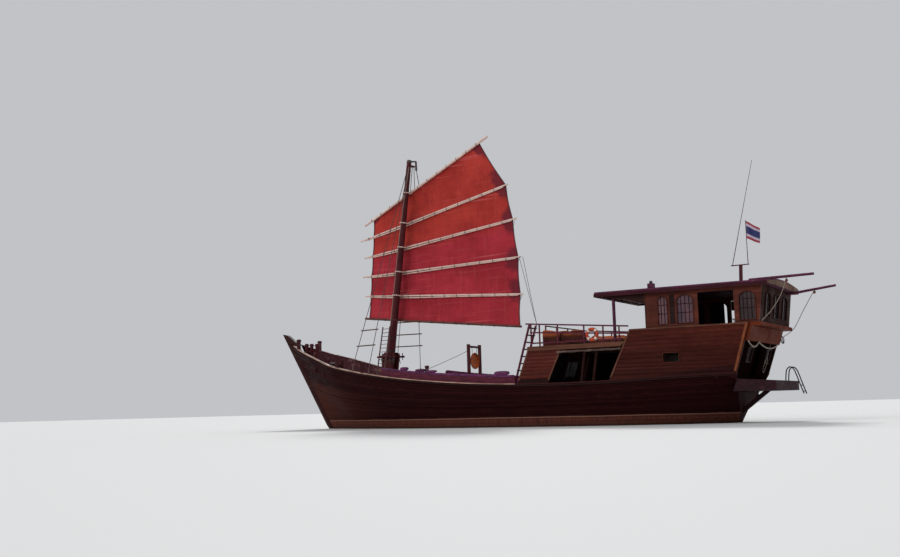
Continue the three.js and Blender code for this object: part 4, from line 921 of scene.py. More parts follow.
def houseTrim():
    # quarter posts, the timbers along the walls' edges, and a casing round each cabin window
    addPiece("quarterPosts", bothSides([rakedTimber(**quarterPost)]), "postWood")
    parts = [rakedTimber(**t) for t in rakedTimbers] + [levelTimber(**t) for t in levelTimbers]
    addPiece("houseTrim", bothSides(parts), "frameWood")
    x0, x1, z0, z1 = house["window"]
    corners = np.array([[x0, z0], [x1, z0], [x1, z1], [x0, z1]])
    x, z = np.concatenate([np.linspace(a, b, windowCasing["steps"], endpoint=False)
                           for a, b in zip(corners, np.roll(corners, -1, 0))]).T
    casing = sweep(xyz(x, wallY(x, z) + windowCasing["out"], z), softBox(*windowCasing["size"]), closed=True,
                   ref=(0, 1, 0))
    addPiece("cabinWindowCasing", bothSides([casing]), "plainMahogany")


houseTrim()


awning = {"fore": -3.95, "aft": -6.72, "z": 3.06, "radius": 0.042, "out": 0.02, "sag": 0.012, "ties": 6,
          "tieInset": 0.15, "pinch": 0.22, "pinchWide": 0.05, "tieDown": 0.006, "tieTight": 0.86,
          "tieRadius": 0.008, "fill": 0.7}


def awningRoll(a):
    # a rolled canvas: two sines swell its radius along its length, and a bell curve pinches it at each tie
    x = np.linspace(a["aft"], a["fore"], 90)
    tieAt = np.linspace(a["aft"] + a["tieInset"], a["fore"] - a["tieInset"], a["ties"])
    middleY = lambda at: wallY(at, a["z"]) + a["radius"] + a["out"]
    swell = 1 + 0.1 * np.sin(x * 9.0) + 0.06 * np.sin(x * 23.0)
    for t in tieAt:
        swell = swell - a["pinch"] * np.exp(-((x - t) / a["pinchWide"]) ** 2)
    z = a["z"] - a["sag"] * np.sin((x - a["aft"]) * 5.2) ** 2
    roll = sweep(xyz(x, middleY(x), z), roundProfile(a["radius"], 16), ref=(0, 0, 1), scale=swell)
    addPair("awningRoll", [roll], "rolledCanvas")
    angle, r = around(14), a["radius"] * a["tieTight"]
    ties = [ropeRing(xyz(t, middleY(t) + r * np.cos(angle), a["z"] - a["tieDown"] + r * np.sin(angle)),
                     a["tieRadius"], (1, 0, 0)) for t in tieAt]
    addPiece("awningTies", bothSides(ties), "ropeDark")


awningRoll(awning)
report("upper works")


# windows: (across, height) shapes put on a wall by a place function

def archTop(a, a0, a1, high):
    # a half ellipse: high - rise + rise * sqrt(1 - (distance from the middle / half width)^2)
    middle, half = (a0 + a1) / 2, abs(a1 - a0) / 2
    rise = min(half, 0.22)
    return high - rise + rise * np.sqrt(np.clip(1 - ((a - middle) / half) ** 2, 0, 1))


def squareTop(a, a0, a1, high):
    return high + 0 * a


joinery = {"paneIn": (0.028, 0.034), "casingOut": 0.012, "casingDeep": 0.6, "barIn": 0.02,
           "bar": (0.024, 0.024)}


def windowParts(a0, a1, low, high, place, top, columns, rowsAt, casing):
    # pane: a grid from the sill to the head line; casing: a timber round the edge; bars: straight strips
    j = joinery
    across, share = gridOf(np.linspace(a0, a1, 17), np.linspace(0, 1, 8))
    grid = low + (top(across, a0, a1, high) - low) * share
    pane = slab(*(place(across, grid, -depth) for depth in j["paneIn"]))
    edge = np.linspace(a0, a1, 15)
    head = np.stack([edge, top(edge, a0, a1, high)], -1)
    loop = np.vstack([[[a1, low], [(a0 + a1) / 2, low], [a0, low], [a0, (low + head[0, 1]) / 2]], head,
                      [[a1, (low + head[-1, 1]) / 2]]])
    facing = unit(place(a0, low, 1.0) - place(a0, low, 0.0))
    rim = sweep(place(loop[:, 0], loop[:, 1], j["casingOut"]), softBox(casing * j["casingDeep"], casing),
                closed=True, ref=facing)
    strip = lambda a, z: sweep(place(np.array(a), np.array(z), -j["barIn"]), softBox(*j["bar"]), ref=facing)
    bars = []
    for k in range(1, columns):
        at = a0 + (a1 - a0) * k / columns
        bars.append(strip([at, at], [low, top(at, a0, a1, high)]))
    for z in rowsAt:
        inside = across[top(across[:, 0], a0, a1, high) > z, 0]
        bars.append(strip([inside[0], inside[-1]], [z, z]))
    return pane, rim, bars


wheelhouse = {
    "half": 2.2, "front": -7.55, "back": raked(-12.1, -0.1259, 3.82),
    "side": [(-8.5, -8.1, 3.96, 5.08, 3), (-9.56, -8.89, 3.96, 5.08, 4), (-12.0, -11.37, 3.92, 5.02, 4)],
    "sideRows": (4.38, 4.73), "openWindow": -9.56, "darkAftOf": -11,
    "fore": {"at": [(-1.95, -1.35), (-1.15, -0.65), (0.65, 1.15), (1.35, 1.95)], "low": 4.0, "high": 5.0,
             "look": {"rowsAt": (4.35, 4.7)}},
    "aft": {"at": [(-1.6, -0.9), (-0.35, 0.35), (0.9, 1.6)], "low": 4.05, "high": 5.0,
            "look": {"columns": 3, "rowsAt": (4.38, 4.7)}},
    "saloon": {"at": [(-2.2, -1.0), (1.0, 2.2)], "low": 2.0, "high": 2.85,
               "look": {"top": squareTop, "columns": 3, "rowsAt": (2.42,), "casing": 0.07}},
    "stern": {"at": [(0.95, 1.6), (-1.6, -0.95)], "low": 2.35, "high": 2.9, "proud": 0.012,
              "look": {"top": squareTop, "rowsAt": (2.62,), "casing": 0.07}},
    "panel": {"x": -8.7, "low": 3.96, "high": 5.12, "wide": 0.2, "thick": 0.016, "out": 0.006}}


def allWindows(w):
    # clear panes on the wheelhouse's sides and front, dark ones where nothing lights the room behind
    panes, darkPanes, casings, bars = [], [], [], []

    def put(a0, a1, low, high, place, into, rims, top=archTop, columns=2, rowsAt=(), casing=0.05):
        pane, rim, cross = windowParts(a0, a1, low, high, place, top, columns, rowsAt, casing)
        into.append(pane)
        rims.append(rim)
        bars.extend(cross)

    def putRow(row, place, into, rims):
        for a0, a1 in row["at"]:
            put(a0, a1, row["low"], row["high"], place, into, rims, **row["look"])

    for sign in (1, -1):
        onSide = lambda a, z, out, s=sign: xyz(a, s * (w["half"] + out), z)
        for a0, a1, low, high, columns in w["side"]:
            if sign < 0 and a0 == w["openWindow"]:
                continue  # the one that stands open
            into = darkPanes if a1 < w["darkAftOf"] else panes
            put(a0, a1, low, high, onSide, into, casings, columns=columns, rowsAt=w["sideRows"])
    putRow(w["fore"], lambda a, z, out: xyz(w["front"] + out, a, z), panes, casings)
    putRow(w["aft"], lambda a, z, out: xyz(w["back"](z) - out, a, z), darkPanes, bars)
    putRow(w["saloon"], lambda a, z, out: xyz(doorWall(z) + out, a, z), darkPanes, casings)
    onStern = lambda a, z, out: xyz(sternPlane(z) + w["stern"]["proud"] - out, a, z)
    putRow(w["stern"], onStern, darkPanes, bars)
    p = w["panel"]
    for y in (w["half"] + p["out"], -w["half"] - p["out"]):
        bars.append(bar((p["x"], y, p["low"]), (p["x"], y, p["high"]), p["thick"], p["wide"], ref=(1, 0, 0)))
    addPiece("windowPanes", panes, "paneGlass")
    addPiece("shadedPanes", darkPanes, "paneDark")
    addPiece("windowCasings", casings, "plainMahogany")
    addPiece("windowBars", bars, "darkTrim")


allWindows(wheelhouse)


drape = {"ripple": 24, "atHead": 0.15, "thick": 0.004}


def folds(across, z, head, fold):
    # fold * sin(24 across) * (depth below the head + 0.15), so the folds open towards the hem
    return fold * np.sin(across * drape["ripple"]) * (head - z + drape["atHead"])


def hangCloth(name, points, thick):
    cloth = addPiece(name, [slab(points, points + np.array(thick))], "darkCanvas")


def sideCloth(name, x0, x1, z0, z1, inside, fold, count):
    # y = inside + folds, hung from x0 to x1 with its hem at z0
    x, z = gridOf(np.linspace(x0, x1, count), np.linspace(z0, z1, 22))
    points = xyz(x, inside(x) + folds(x, z, z1, fold), z)
    hangCloth(name, points, (0, drape["thick"], 0))


saloonCloth = {"aft": -6.35, "fore": -3.75, "low": 2.0, "high": 3.12, "inset": 0.15, "level": 2.6,
               "fold": 0.02}
doorCloth = {"half": 0.6, "low": 1.32, "high": 3.07, "inset": 0.13, "fold": 0.02}


def saloonCurtain(c):
    # the far saloon opening is curtained: the cloth follows the curved side, inset from it
    inside = lambda x: c["inset"] - wallY(x, c["level"])
    sideCloth("saloonCurtain", c["aft"], c["fore"], c["low"], c["high"], inside, c["fold"],
              150)


def doorCurtain(c):
    # the front doorway's cloth lies parallel to the raked wall: x = wall - inset + folds
    y, z = gridOf(np.linspace(-c["half"], c["half"], 60), np.linspace(c["low"], c["high"], 24))
    points = xyz(doorWall(z) - c["inset"] + folds(y, z, c["high"], c["fold"]), y, z)
    hangCloth("doorCurtain", points, (drape["thick"], 0, 0))


saloonCurtain(saloonCloth)
doorCurtain(doorCloth)


helm = {"aft": -11.15, "fore": -9.77, "from": -10.06, "sill": 3.84, "railTop": 4.34, "y": -2.17,
        "radius": 0.024, "spacing": 0.115, "first": 0.06, "railAft": 0.03, "rail": (0.05, 0.04),
        "postAt": 0.14, "postAbove": 0.06, "post": (0.04, 0.04),
        "blindTop": 5.1, "blindLow": 3.88, "valance": 4.7, "inside": -2.1, "fold": 0.012, "edge": 0.01,
        "windowBlinds": [("blindFore", -8.55, -8.05), ("blindMiddle", -9.47, -8.85),
                         ("blindAft", -12.03, -11.33)]}


def helmBalusters(h):
    # turned balusters on the far side only, with their rail and a post: the radius swells by sin^2 in the
    # middle and steps out at both ends
    z = np.linspace(h["sill"], h["railTop"], 16)
    t = (z - h["sill"]) / (h["railTop"] - h["sill"])
    swell = 0.6 + 0.4 * np.sin(np.pi * t) ** 2 + 0.35 * (np.abs(t - 0.5) > 0.42)
    parts = [sweep(xyz(x, h["y"], z), roundProfile(h["radius"], 10), ref=(1, 0, 0), scale=swell)
             for x in np.arange(h["fore"] - h["first"], h["from"], -h["spacing"])]
    y, top, post = h["y"], h["railTop"], h["from"] + h["postAt"]
    parts.append(bar((h["from"] - h["railAft"], y, top), (h["fore"], y, top), *h["rail"]))
    parts.append(bar((post, y, top), (post, y, h["valance"] + h["postAbove"]), *h["post"], ref=(1, 0, 0)))
    addPiece("helmBalusters", parts, "darkTrim")


def helmBlinds(h):
    # a blind and a short valance in the helm opening, and a blind inside each starboard window
    hung = [("helmBlind", h["aft"] + h["edge"], h["from"], h["blindLow"], 60),
            ("helmValance", h["from"] + h["edge"], h["fore"] - h["edge"], h["valance"], 20)]
    hung += [(name, x0, x1, h["blindLow"], 30) for name, x0, x1 in h["windowBlinds"]]
    for name, x0, x1, low, count in hung:
        sideCloth(name, x0, x1, low, h["blindTop"], lambda x: h["inside"], h["fold"],
                  count)


helmBalusters(helm)
helmBlinds(helm)
report("windows")


# sail: rows from the boom up to the yard, each (luff x, luff z, leech x, leech z)

sailRows = np.array([[8.28, 5.507, -0.44, 4.541], [8.17, 6.659, -0.51, 6.041], [8.10, 7.677, -0.46, 7.788],
                     [8.0, 8.705, -0.24, 9.606], [7.92, 9.71, 0.07, 11.296], [7.89, 10.6, 1.48, 13.6]])
sail = {"face": -0.3146, "gap": 0.003, "thick": 0.007, "belly": 0.11, "scallop": 0.05, "ripple": 0.012,
        "crease": 0.01, "across": 120, "up": 18, "flat": (8.79, 9.06),
        "bolt": {"edge": 0.014, "foot": 0.012, "out": 0.008}}


def sailCanvas():
    # orange-red upper panels, crimson lower ones, dark chafe at the leech by each batten, stitched seams
    f = Finish("sailCanvas", roughness=0.8, sheen=0.05, specular=0.2)
    u, v = f.uv("X"), f.uv("Y")
    patch = f.noise((0.5, 0.5, 0.7), 1.4, 6.0, 0.6)
    fine = f.noise((6, 6, 6), 4.0, 4.0, 0.6)
    streak = f.noise((2.4, 2.4, 0.18), 2.0, 5.0, 0.55)
    lowPanels = f.mix(f.step(patch, 0.3, 0.7), tint(148, 28, 40), tint(174, 43, 57))
    highPanels = f.mix(f.step(patch, 0.3, 0.7), tint(152, 36, 31), tint(180, 53, 42))
    colour = f.mix(f.step(v, 0.52, 0.66), lowPanels, highPanels)
    colour = f.over(colour, tint(206, 96, 80), streak, 0.5, 0.8, 0.2)
    # level creases, strongest just above and below a batten
    level = f.noise((0.12, 0.12, 5.0), 2.2, 3.0, 0.5)
    nearBatten = f.step(f.maths("PINGPONG", v, 0.1), 0.075, 0.0, 0.1, 0.5)
    colour = f.mix(f.times(f.step(level, 0.56, 0.7), nearBatten), colour, tint(212, 112, 112))
    colour = f.over(colour, tint(110, 22, 28), fine, 0.55, 0.8, 0.22)
    # chafed cloth round each batten end: distance from the leech, and from the luff at the head only
    toBatten = f.times(f.maths("PINGPONG", v, 0.1), 9.0)
    wobble = f.times(f.minus(patch, 0.5), 1.3)
    squared = f.maths("POWER", toBatten, 2.0)
    reach = [f.plus(f.maths("SQRT", f.plus(f.maths("POWER", f.times(side, 9.0), 2.0), squared)), wobble)
             for side in (f.minus(1.0, u), u)]
    leechSide = f.times(f.step(reach[0], 0.5, 0.8, 0.82, 0.0), f.step(v, 0.12, 0.2))
    luffSide = f.times(f.step(reach[1], 0.5, 0.8, 0.7, 0.0), f.step(v, 0.88, 0.94))
    colour = f.mix(f.maths("MAXIMUM", leechSide, luffSide), colour, tint(96, 24, 38))
    seam = f.maths("ABSOLUTE", f.minus(f.maths("FRACT", f.times(u, 11.0)), 0.5))
    colour = f.over(colour, tint(104, 24, 26), seam, 0.47, 0.495, 0.3)
    hem = f.maths("MAXIMUM", f.step(u, 0.012, 0.004), f.step(u, 0.988, 0.996))
    colour = f.mix(f.times(hem, 0.55), colour, tint(74, 18, 26))
    under = f.plus(f.times(fine, 0.5), f.step(seam, 0.46, 0.5, 0, 0.8))
    f.done(colour, under, 0.01)


sailCanvas()


def sailCloth(s):
    # between two spars the cloth bellies by sin(pi v) sin(pi u)^0.6; ripples die away from each spar as
    # exp(-3 distance), and creases run level across each panel
    grids, shares, panels = [], [], len(sailRows) - 1
    u, v = gridOf(np.linspace(0, 1, s["across"]), np.linspace(0, 1, s["up"]))
    full = np.sin(np.pi * v)
    for k in range(panels):
        low, high = sailRows[k], sailRows[k + 1]
        luffX, luffZ, leechX, leechZ = np.moveaxis(between(low, high, v[..., None]), -1, 0)
        pull = s["scallop"] * full
        luffX, leechX = luffX - pull * 0.5, leechX + pull
        belly = s["belly"] * full * np.sin(np.pi * u) ** 0.6
        ripple = s["ripple"] * np.sin(u * 70 + 4 * v) * full * np.exp(-3 * np.minimum(v, 1 - v))
        crease = s["crease"] * np.sin(9 * np.pi * v + 3 * u) * full ** 0.5 * (1 if k < 3 else 0.5)
        y = s["face"] - s["gap"] - s["thick"] / 2 - belly - np.abs(ripple) - np.abs(crease)
        start = 1 if k else 0  # a row shared by two panels is kept once
        grids.append(xyz(between(luffX, leechX, u), y, between(luffZ, leechZ, u))[:, start:])
        shares.append(((k + v) / panels)[:, start:])
    front, share = np.concatenate(grids, 1), np.concatenate(shares, 1)
    back = front - np.array([0, s["thick"], 0])
    cloth = addPiece("sailCloth", [slab(front, back)], "sailCanvas", body="sail_rig",
                     replaces=("sail",))
    addUv(cloth, np.broadcast_to(u[:, :1], share.shape), share)
    return front


def boltRope(front, s):
    # a rope sewn along the luff, the leech and the foot
    aside, down = np.array([s["out"], 0, 0]), np.array([0, 0, s["out"]])
    parts = [tube(front[0] + aside, s["edge"]), tube(front[-1] - aside, s["edge"]),
             tube(front[:, 0] - down, s["foot"])]
    addPiece("boltRope", parts, "ropeDark", body="sail_rig")


sailFront = sailCloth(sail)


# each spar from its fore end to its aft end, as the solids: x and z at both ends, then its radius
spars = {"yard": (8.4, 10.34, 0.97, 13.81, 0.06), "batten_top": (8.71, 9.55, -0.05, 11.32, 0.04),
         "batten_upper": (8.5, 8.65, -0.46, 9.63, 0.04), "batten_lower": (8.6, 7.67, -0.62, 7.79, 0.04),
         "batten_foot": (8.47, 6.68, -0.67, 6.03, 0.04), "boom": (8.49, 5.53, -0.54, 4.53, 0.055)}
lath = {"radius": 0.03, "drop": 0.092, "bow": 0.02, "ends": (0.03, 0.97, 60)}
lashing = {"at": (0.06, 0.95, 0.7 / 9), "radius": 0.009, "outY": 0.014, "outZ": 0.012, "slant": 0.01}


def lathDrop(t):
    # how far a lath hangs below its batten: drop * sin(pi t)^0.4
    return lath["drop"] * np.sin(np.pi * t) ** 0.4


def battenLaths(l):
    # under each batten a thinner lath that meets it at both ends, its drop and bow * sin(7 t) below it
    parts, t = [], np.linspace(*l["ends"])
    for name, (x0, z0, x1, z1, _) in spars.items():
        if name.startswith("batten"):
            z = between(z0, z1, t) - lathDrop(t) - l["bow"] * np.sin(7 * t)
            parts.append(tube(xyz(between(x0, x1, t), sail["face"] + l["radius"], z), l["radius"]))
    addPiece("battenLaths", parts, "paleSpar", body="sail_rig")


def sparLashings(l):
    # rings round each spar, drawn down to take in the lath where there is one
    parts, angle = [], around(16)
    for name, (x0, z0, x1, z1, r) in spars.items():
        for t in np.arange(*l["at"]):
            deep = lathDrop(t) if name.startswith("batten") else 0.0
            x = between(x0, x1, t) + l["slant"] * np.sin(angle)
            y = sail["face"] + r + (r + l["outY"]) * np.cos(angle)
            z = between(z0, z1, t) - deep / 2 + (r + l["outZ"] + deep / 2) * np.sin(angle)
            parts.append(ropeRing(xyz(x, y, z), l["radius"], (1, 0, 0.02)))
    addPiece("battenLashings", parts, "ropeDark", body="sail_rig")


battenLaths(lath)
sparLashings(lashing)
boltRope(sailFront, sail["bolt"])
report("sail")


# mast, standing and running rigging

mast = {"foot": (6.81, 2.99), "rake": 0.1388, "low": 2.152, "top": 13.148, "taperFrom": 2.15,
        "footRadius": 0.21, "headRadius": 0.115, "crown": 0.03, "crownTight": 0.82,
        "arm": (5.4206, 13.03, -0.44), "armSize": (0.2, 0.06), "hoops": (3.78, 4.4, 11.75, 12.35, 12.75),
        "hoopHalf": 0.03, "hoopEdge": 0.028, "hoopProud": (0.001, 0.008)}


def mastPoint(z, y=0.0):
    # on the raked axis at height z, moved to port by y
    z = np.asarray(z, float)
    return xyz(mast["foot"][0] - mast["rake"] * (z - mast["foot"][1]), y, z)


def mastRadius(z):
    # tapers evenly from the foot to the head
    low, more = mast["taperFrom"], mast["headRadius"] - mast["footRadius"]
    return mast["footRadius"] + more * (z - low) / (mast["top"] - low)


def mastPieces(m):
    # rings square to the raked axis, their radius wavering by a sine; flat iron hoops lie on it
    axis, port = unit(mastPoint(m["top"]) - mastPoint(m["low"])), np.array([0, 1.0, 0])
    circle = circleIn(unit(np.cross(port, axis)), port, 32)
    ringed = lambda z, r: rings(mastPoint(z)[:, None] + circle[None] * r[:, None, None])
    z = np.concatenate([np.linspace(m["low"], m["top"] - m["crown"], 60), [m["top"]]])
    r = mastRadius(z) * (1 + 0.006 * np.sin(z * 5.1))
    r[-1] *= m["crownTight"]
    x, armZ, end = m["arm"]
    arm = bar((x, 0, armZ), (x, end, armZ), *m["armSize"])  # carries the starboard shrouds clear of the sail
    addPiece("mastTimber", [ringed(z, r), arm], "mastTimber", replaces=("mast",))
    h, e = m["hoopHalf"], m["hoopEdge"]
    sunk, proud = m["hoopProud"]
    hoops = [ringed(at + np.array([-h, -e, e, h]), mastRadius(at) + np.array([sunk, proud, proud, sunk]))
             for at in m["hoops"]]
    addPiece("mastHoops", hoops, "ironTube")


mastPieces(mast)


falls = {"port": {"through": [(5.30, 0.16, 12.9), (5.85, 0.24, 9.8), (6.32, 0.3, 6.4), (6.70, 0.36, 3.62)],
                  "radius": 0.014},
         "starboard": {"at": (12.88, 9.8, 6.4, 4.9), "end": (6.73, -0.324, 3.62), "radius": 0.009},
         "gongStay": {"ends": [(1.95, 0.52, 3.5), (3.3, 2.86, 2.45)], "sag": 0.03, "radius": 0.012}}
coils = {"pins": [(-0.45, 0.37), (-0.25, 0.37), (0.25, 0.37), (0.45, -0.37), (-0.25, -0.37)],
         "at": (6.74, 3.34), "turns": 5, "radius": 0.009, "out": (0.045, 0.007), "wide": (0.03, 0.005),
         "high": 0.16, "lower": 0.01}
sheets = {"foot": (-2.4, 1.76, 4.35), "head": (-0.62, -0.30, 7.79), "sag": 0.02, "radius": 0.011,
          "apart": {"sheetPort": 0.06, "sheetStarboard": -0.06}}
tails = {"aft": (0.05, 0.22), "down": (0.03, 0.4), "sag": 0.02, "radius": 0.009}


def ropeFalls(f):
    # the starboard fall lies against the mast, inside the loops by which the swinging spars go round it
    radius = f["starboard"]["radius"]
    close = [mastPoint(z, -mastRadius(z) - radius) for z in f["starboard"]["at"]] + [f["starboard"]["end"]]
    stay = f["gongStay"]
    addPiece("ropeFalls", [tube(smoothPath(f["port"]["through"], 40), f["port"]["radius"]),
                           tube(smoothPath(close, 40), radius),
                           tube(sagging(*stay["ends"], stay["sag"]), stay["radius"])], "ropeHemp")


def pinCoils(c):
    # on each pin, turns that hang as long rings, each a little wider and lower than the last
    parts, angle = [], around(28)
    for k, (dx, y) in enumerate(c["pins"]):
        for turn in range(c["turns"]):
            out, wide = (start + more * turn for start, more in (c["out"], c["wide"]))
            ring = xyz(c["at"][0] + dx + wide * np.sin(angle + 0.4 * k),
                       y + math.copysign(out * 0.55, y) + 0.012 * np.cos(3 * angle),
                       c["at"][1] + c["high"] * np.cos(angle) - c["lower"] * turn)
            parts.append(ropeRing(ring, c["radius"], (0, 1, 0)))
    addPiece("pinCoils", parts, "ropeDark")


def sailSheets(s):
    # both sheets stay taut, from one cleat on the stair's rail to the aft end of the lower batten
    for name, apart in s["apart"].items():
        head = np.array(s["head"]) + np.array([apart, apart, 0])
        line = sagging(s["foot"], head, s["sag"], 30)
        piece = addPiece(name, [tube(line, s["radius"])], "ropeDark", body=None)
        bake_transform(piece)


def battenTails(t):
    # a short rope's end hangs at the aft end of each batten
    parts = []
    for name, (_, _, x, z, r) in spars.items():
        if name.startswith("batten"):
            ends = [(x + aft, sail["face"] + r, z - down) for aft, down in zip(t["aft"], t["down"])]
            parts.append(tube(sagging(*ends, t["sag"]), t["radius"], 6))
    addPiece("battenTails", parts, "ropeDark", body="sail_rig")


ropeFalls(falls)
pinCoils(coils)
sailSheets(sheets)
battenTails(tails)


sternGear = {
    "falls": [[(-13.3, -1.8, 5.25), (-12.78, -2.0, 4.5), (-12.28, -2.26, 3.78), (-11.8, -2.33, 3.45)],
              [(-13.11, 1.8, 5.4), (-12.86, 1.85, 4.78), (-12.55, 2.1, 4.22), (-12.2, 2.24, 3.84)]],
    "fallRadius": 0.014, "sag": 0.2, "swagRadius": 0.03,
    "swags": [((-11.67, 2.3, 3.1), (-11.67, 0.9, 3.12)), ((-11.67, 0.9, 3.12), (-11.67, -1.9, 3.12))],
    "coil": {"at": (-11.74, -2.35, 3.34), "turns": 4, "wide": 0.05, "high": 0.13, "more": 0.008,
             "apart": 0.02, "radius": 0.012},
    "blocks": [(-13.3, -1.8, 5.17), (-13.11, 1.8, 5.33)],
    "blockShape": [(0.001, -0.035), (0.05, -0.03), (0.062, 0), (0.05, 0.03), (0.001, 0.035)],
    "strop": {"up": 0.085, "wide": 0.07, "high": 0.075, "radius": 0.01},
    "becket": {"y": -1.2, "z": 2.28, "wide": 0.17, "high": 0.3, "aft": 0.03, "radius": 0.016,
               "hang": (2.57, 3.12), "hangRadius": 0.01}}


def sternRopes(g):
    # falls from the stern poles and swags of heavy rope across the transom
    parts = [tube(smoothPath(path, 30), g["fallRadius"]) for path in g["falls"]]
    parts += [tube(sagging(a, b, g["sag"], 24), g["swagRadius"]) for a, b in g["swags"]]
    addPiece("sternRopes", parts, "ropeHemp")


def cornerCoil(c):
    # turns hung side by side, each wider than the last and turned a little
    (x, y, z), angle, parts = c["at"], around(28), []
    for k in range(c["turns"]):
        wide, high = c["wide"] + c["more"] * k, c["high"] + c["more"] * k
        ring = xyz(x + wide * np.sin(angle + k), y - c["apart"] * k, z + high * np.cos(angle))
        parts.append(ropeRing(ring, c["radius"], (0, 1, 0)))
    addPiece("cornerCoil", parts, "ropeDark")


def poleBlocks(g):
    # a turned cheek on each stern pole, in a rope strop
    parts, strop, angle = [], g["strop"], around(16)
    for x, y, z in g["blocks"]:
        parts.append(revolved(g["blockShape"], (x, y, z), (0, 1, 0), 20))
        ring = xyz(x, y + strop["wide"] * np.cos(angle), z + strop["up"] + strop["high"] * np.sin(angle))
        parts.append(ropeRing(ring, strop["radius"], (1, 0, 0)))
    addPiece("poleBlocks", parts, "darkSpar")


def transomBecket(b):
    # a slim rope ring hung against the transom, parallel to its rake
    angle = around(36)
    against = lambda y, z: xyz(sternPlane(z) - b["aft"], y, z)
    ring = against(b["y"] + b["wide"] * np.cos(angle), b["z"] + b["high"] * np.sin(angle))
    hang = against(b["y"], np.array(b["hang"]))
    addPiece("transomBecket", [ropeRing(ring, b["radius"], (1, 0, 0.3), 8), tube(hang, b["hangRadius"], 6)],
             "ropeHemp")


sternRopes(sternGear)
cornerCoil(sternGear["coil"])
poleBlocks(sternGear)
transomBecket(sternGear["becket"])
report("rigging")


# flag, life ring, gong, cushions

flag = {"staff": -11.216, "tip": -11.74, "low": (7.4, 7.12), "high": (8.13, 7.76), "wave": 0.09,
        "droop": 0.012, "thick": 0.002, "flat": (0.62, 0.72)}


def buntingFinish():
    # five level stripes read from the cloth's own height
    f = Finish("stripedBunting", roughness=0.8, sheen=0.2)
    v = f.uv("Y")
    fade = f.noise((2, 2, 2), 3.0, 4.0)
    red, white, blue = tint(150, 40, 52), tint(192, 174, 190), tint(22, 36, 92)
    colour = f.mix(f.step(v, 0.14, 0.15), red, white)
    colour = f.over(colour, blue, v, 0.28, 0.29)
    colour = f.over(colour, white, v, 0.72, 0.73)
    colour = f.over(colour, red, v, 0.86, 0.87)
    f.done(f.over(colour, tint(120, 100, 110), fade, 0.4, 0.8, 0.15), fade, 0.002)


buntingFinish()


def flagCloth(g):
    # y = wave * u * sin(9 u + 2.2 v); both edges fall towards the tip, and level waves grow with u
    u, v = gridOf(np.linspace(0, 1, 40), np.linspace(0, 1, 24))
    low, high = between(*g["low"], u), between(*g["high"], u)
    z = between(low, high, v) + g["droop"] * np.sin(8 * u) * u
    face = xyz(between(g["staff"], g["tip"], u), g["wave"] * u * np.sin(9 * u + 2.2 * v), z)
    back = face + np.array([0, g["thick"], 0])
    cloth = addPiece("flagCloth", [slab(face, back)], "stripedBunting", replaces=("flag",))
    addUv(cloth, u, v)


flagCloth(flag)


ring = {"centre": (-5.5, 2.8854, 3.7), "radius": 0.225, "tube": 0.06, "quarters": 4, "bandHalf": 0.2,
        "bandProud": 0.004, "ropeOut": 0.008, "ropeSlack": 0.012, "rope": 0.007}


def lifeRing(r):
    # a round section carried round a circle, a band at each quarter, and a rope that dips between the bands
    at = lambda a, radius: np.array(r["centre"]) + xyz(radius * np.cos(a), 0, radius * np.sin(a))
    shell = sweep(at(around(64), r["radius"]), roundProfile(r["tube"], 20), closed=True, ref=(0, 1, 0))
    addPiece("lifeRingShell", [shell], "ringShell", replaces=("life_ring",))
    bands, becket, quarter = [], [], 2 * np.pi / r["quarters"]
    for k in range(r["quarters"]):
        start = np.pi / 4 + k * quarter
        a = start + np.linspace(-r["bandHalf"], r["bandHalf"], 10)
        bands.append(sweep(at(a, r["radius"]), roundProfile(r["tube"] + r["bandProud"], 20), ref=(0, 1, 0)))
        a = start + np.linspace(0.0, quarter, 20)
        slack = r["radius"] + r["tube"] + r["ropeOut"] - r["ropeSlack"] * np.sin((a - start) * 2) ** 2
        becket.append(tube(at(a, slack), r["rope"], 6))
    addPiece("lifeRingBands", bands, "ringBand")
    addPiece("lifeRingRope", becket, "ropeHemp")


lifeRing(ring)


gong = {"centre": (1.9, 0, 3.05), "radius": 0.385, "beam": 3.655,
        "cord": {"y": 0.2, "up": (0.32, 0.45), "aft": (0.01, 0.02), "radius": 0.01},
        "boss": [(0.001, 0.052), (0.05, 0.048), (0.085, 0.03), (0.11, 0.018), (0.2, 0.014)],
        "rim": [(-0.05, 0.008), (-0.015, -0.002), (0, -0.022), (0, -0.05), (-0.012, -0.054), (-0.02, -0.03),
                (-0.05, -0.006)],
        "back": [(0.12, 0.002), (0.001, 0.01)]}


def gongPiece(g):
    # a turned disc with a raised boss and a rim folded back, and its two cords
    profile = g["boss"] + [(g["radius"] + r, h) for r, h in g["rim"]] + g["back"]
    disc = revolved(profile, g["centre"], (1, 0, 0), 64)
    addPiece("gongDisc", [disc], "bronzeCast", replaces=("gong",))
    (x, _, z), cord, parts = g["centre"], g["cord"], []
    for y in (cord["y"], -cord["y"]):
        path = [(x - aft, y, z + up) for aft, up in zip(cord["aft"], cord["up"])] + [(x, y, g["beam"])]
        parts.append(tube(smoothPath(path, 12), cord["radius"]))
    addPiece("gongCords", parts, "ropeDark")


gongPiece(gong)


seat = {"aft": -4.82, "fore": -3.03, "count": 3, "fill": 0.7, "sharp": 70,
        "pad": {"inner": 1.71, "outer": 2.322, "low": 3.7204, "high": 3.85, "gap": 0.006, "crowned": 0.012,
                "clear": 0.0015, "shape": (0.25, 0.45)},
        "back": {"y": 2.276, "z": 3.86, "gap": 0.01, "half": (0.05, 0.12), "shape": (0.3, 0.5)},
        "hung": {"y": 2.48, "half": 0.06, "shape": (0.3, 0.45),
                 "at": [(-3.84, -3.04, 3.6, 4.08, 0.14), (-4.98, -4.02, 3.5, 3.94, 0.14)]}}


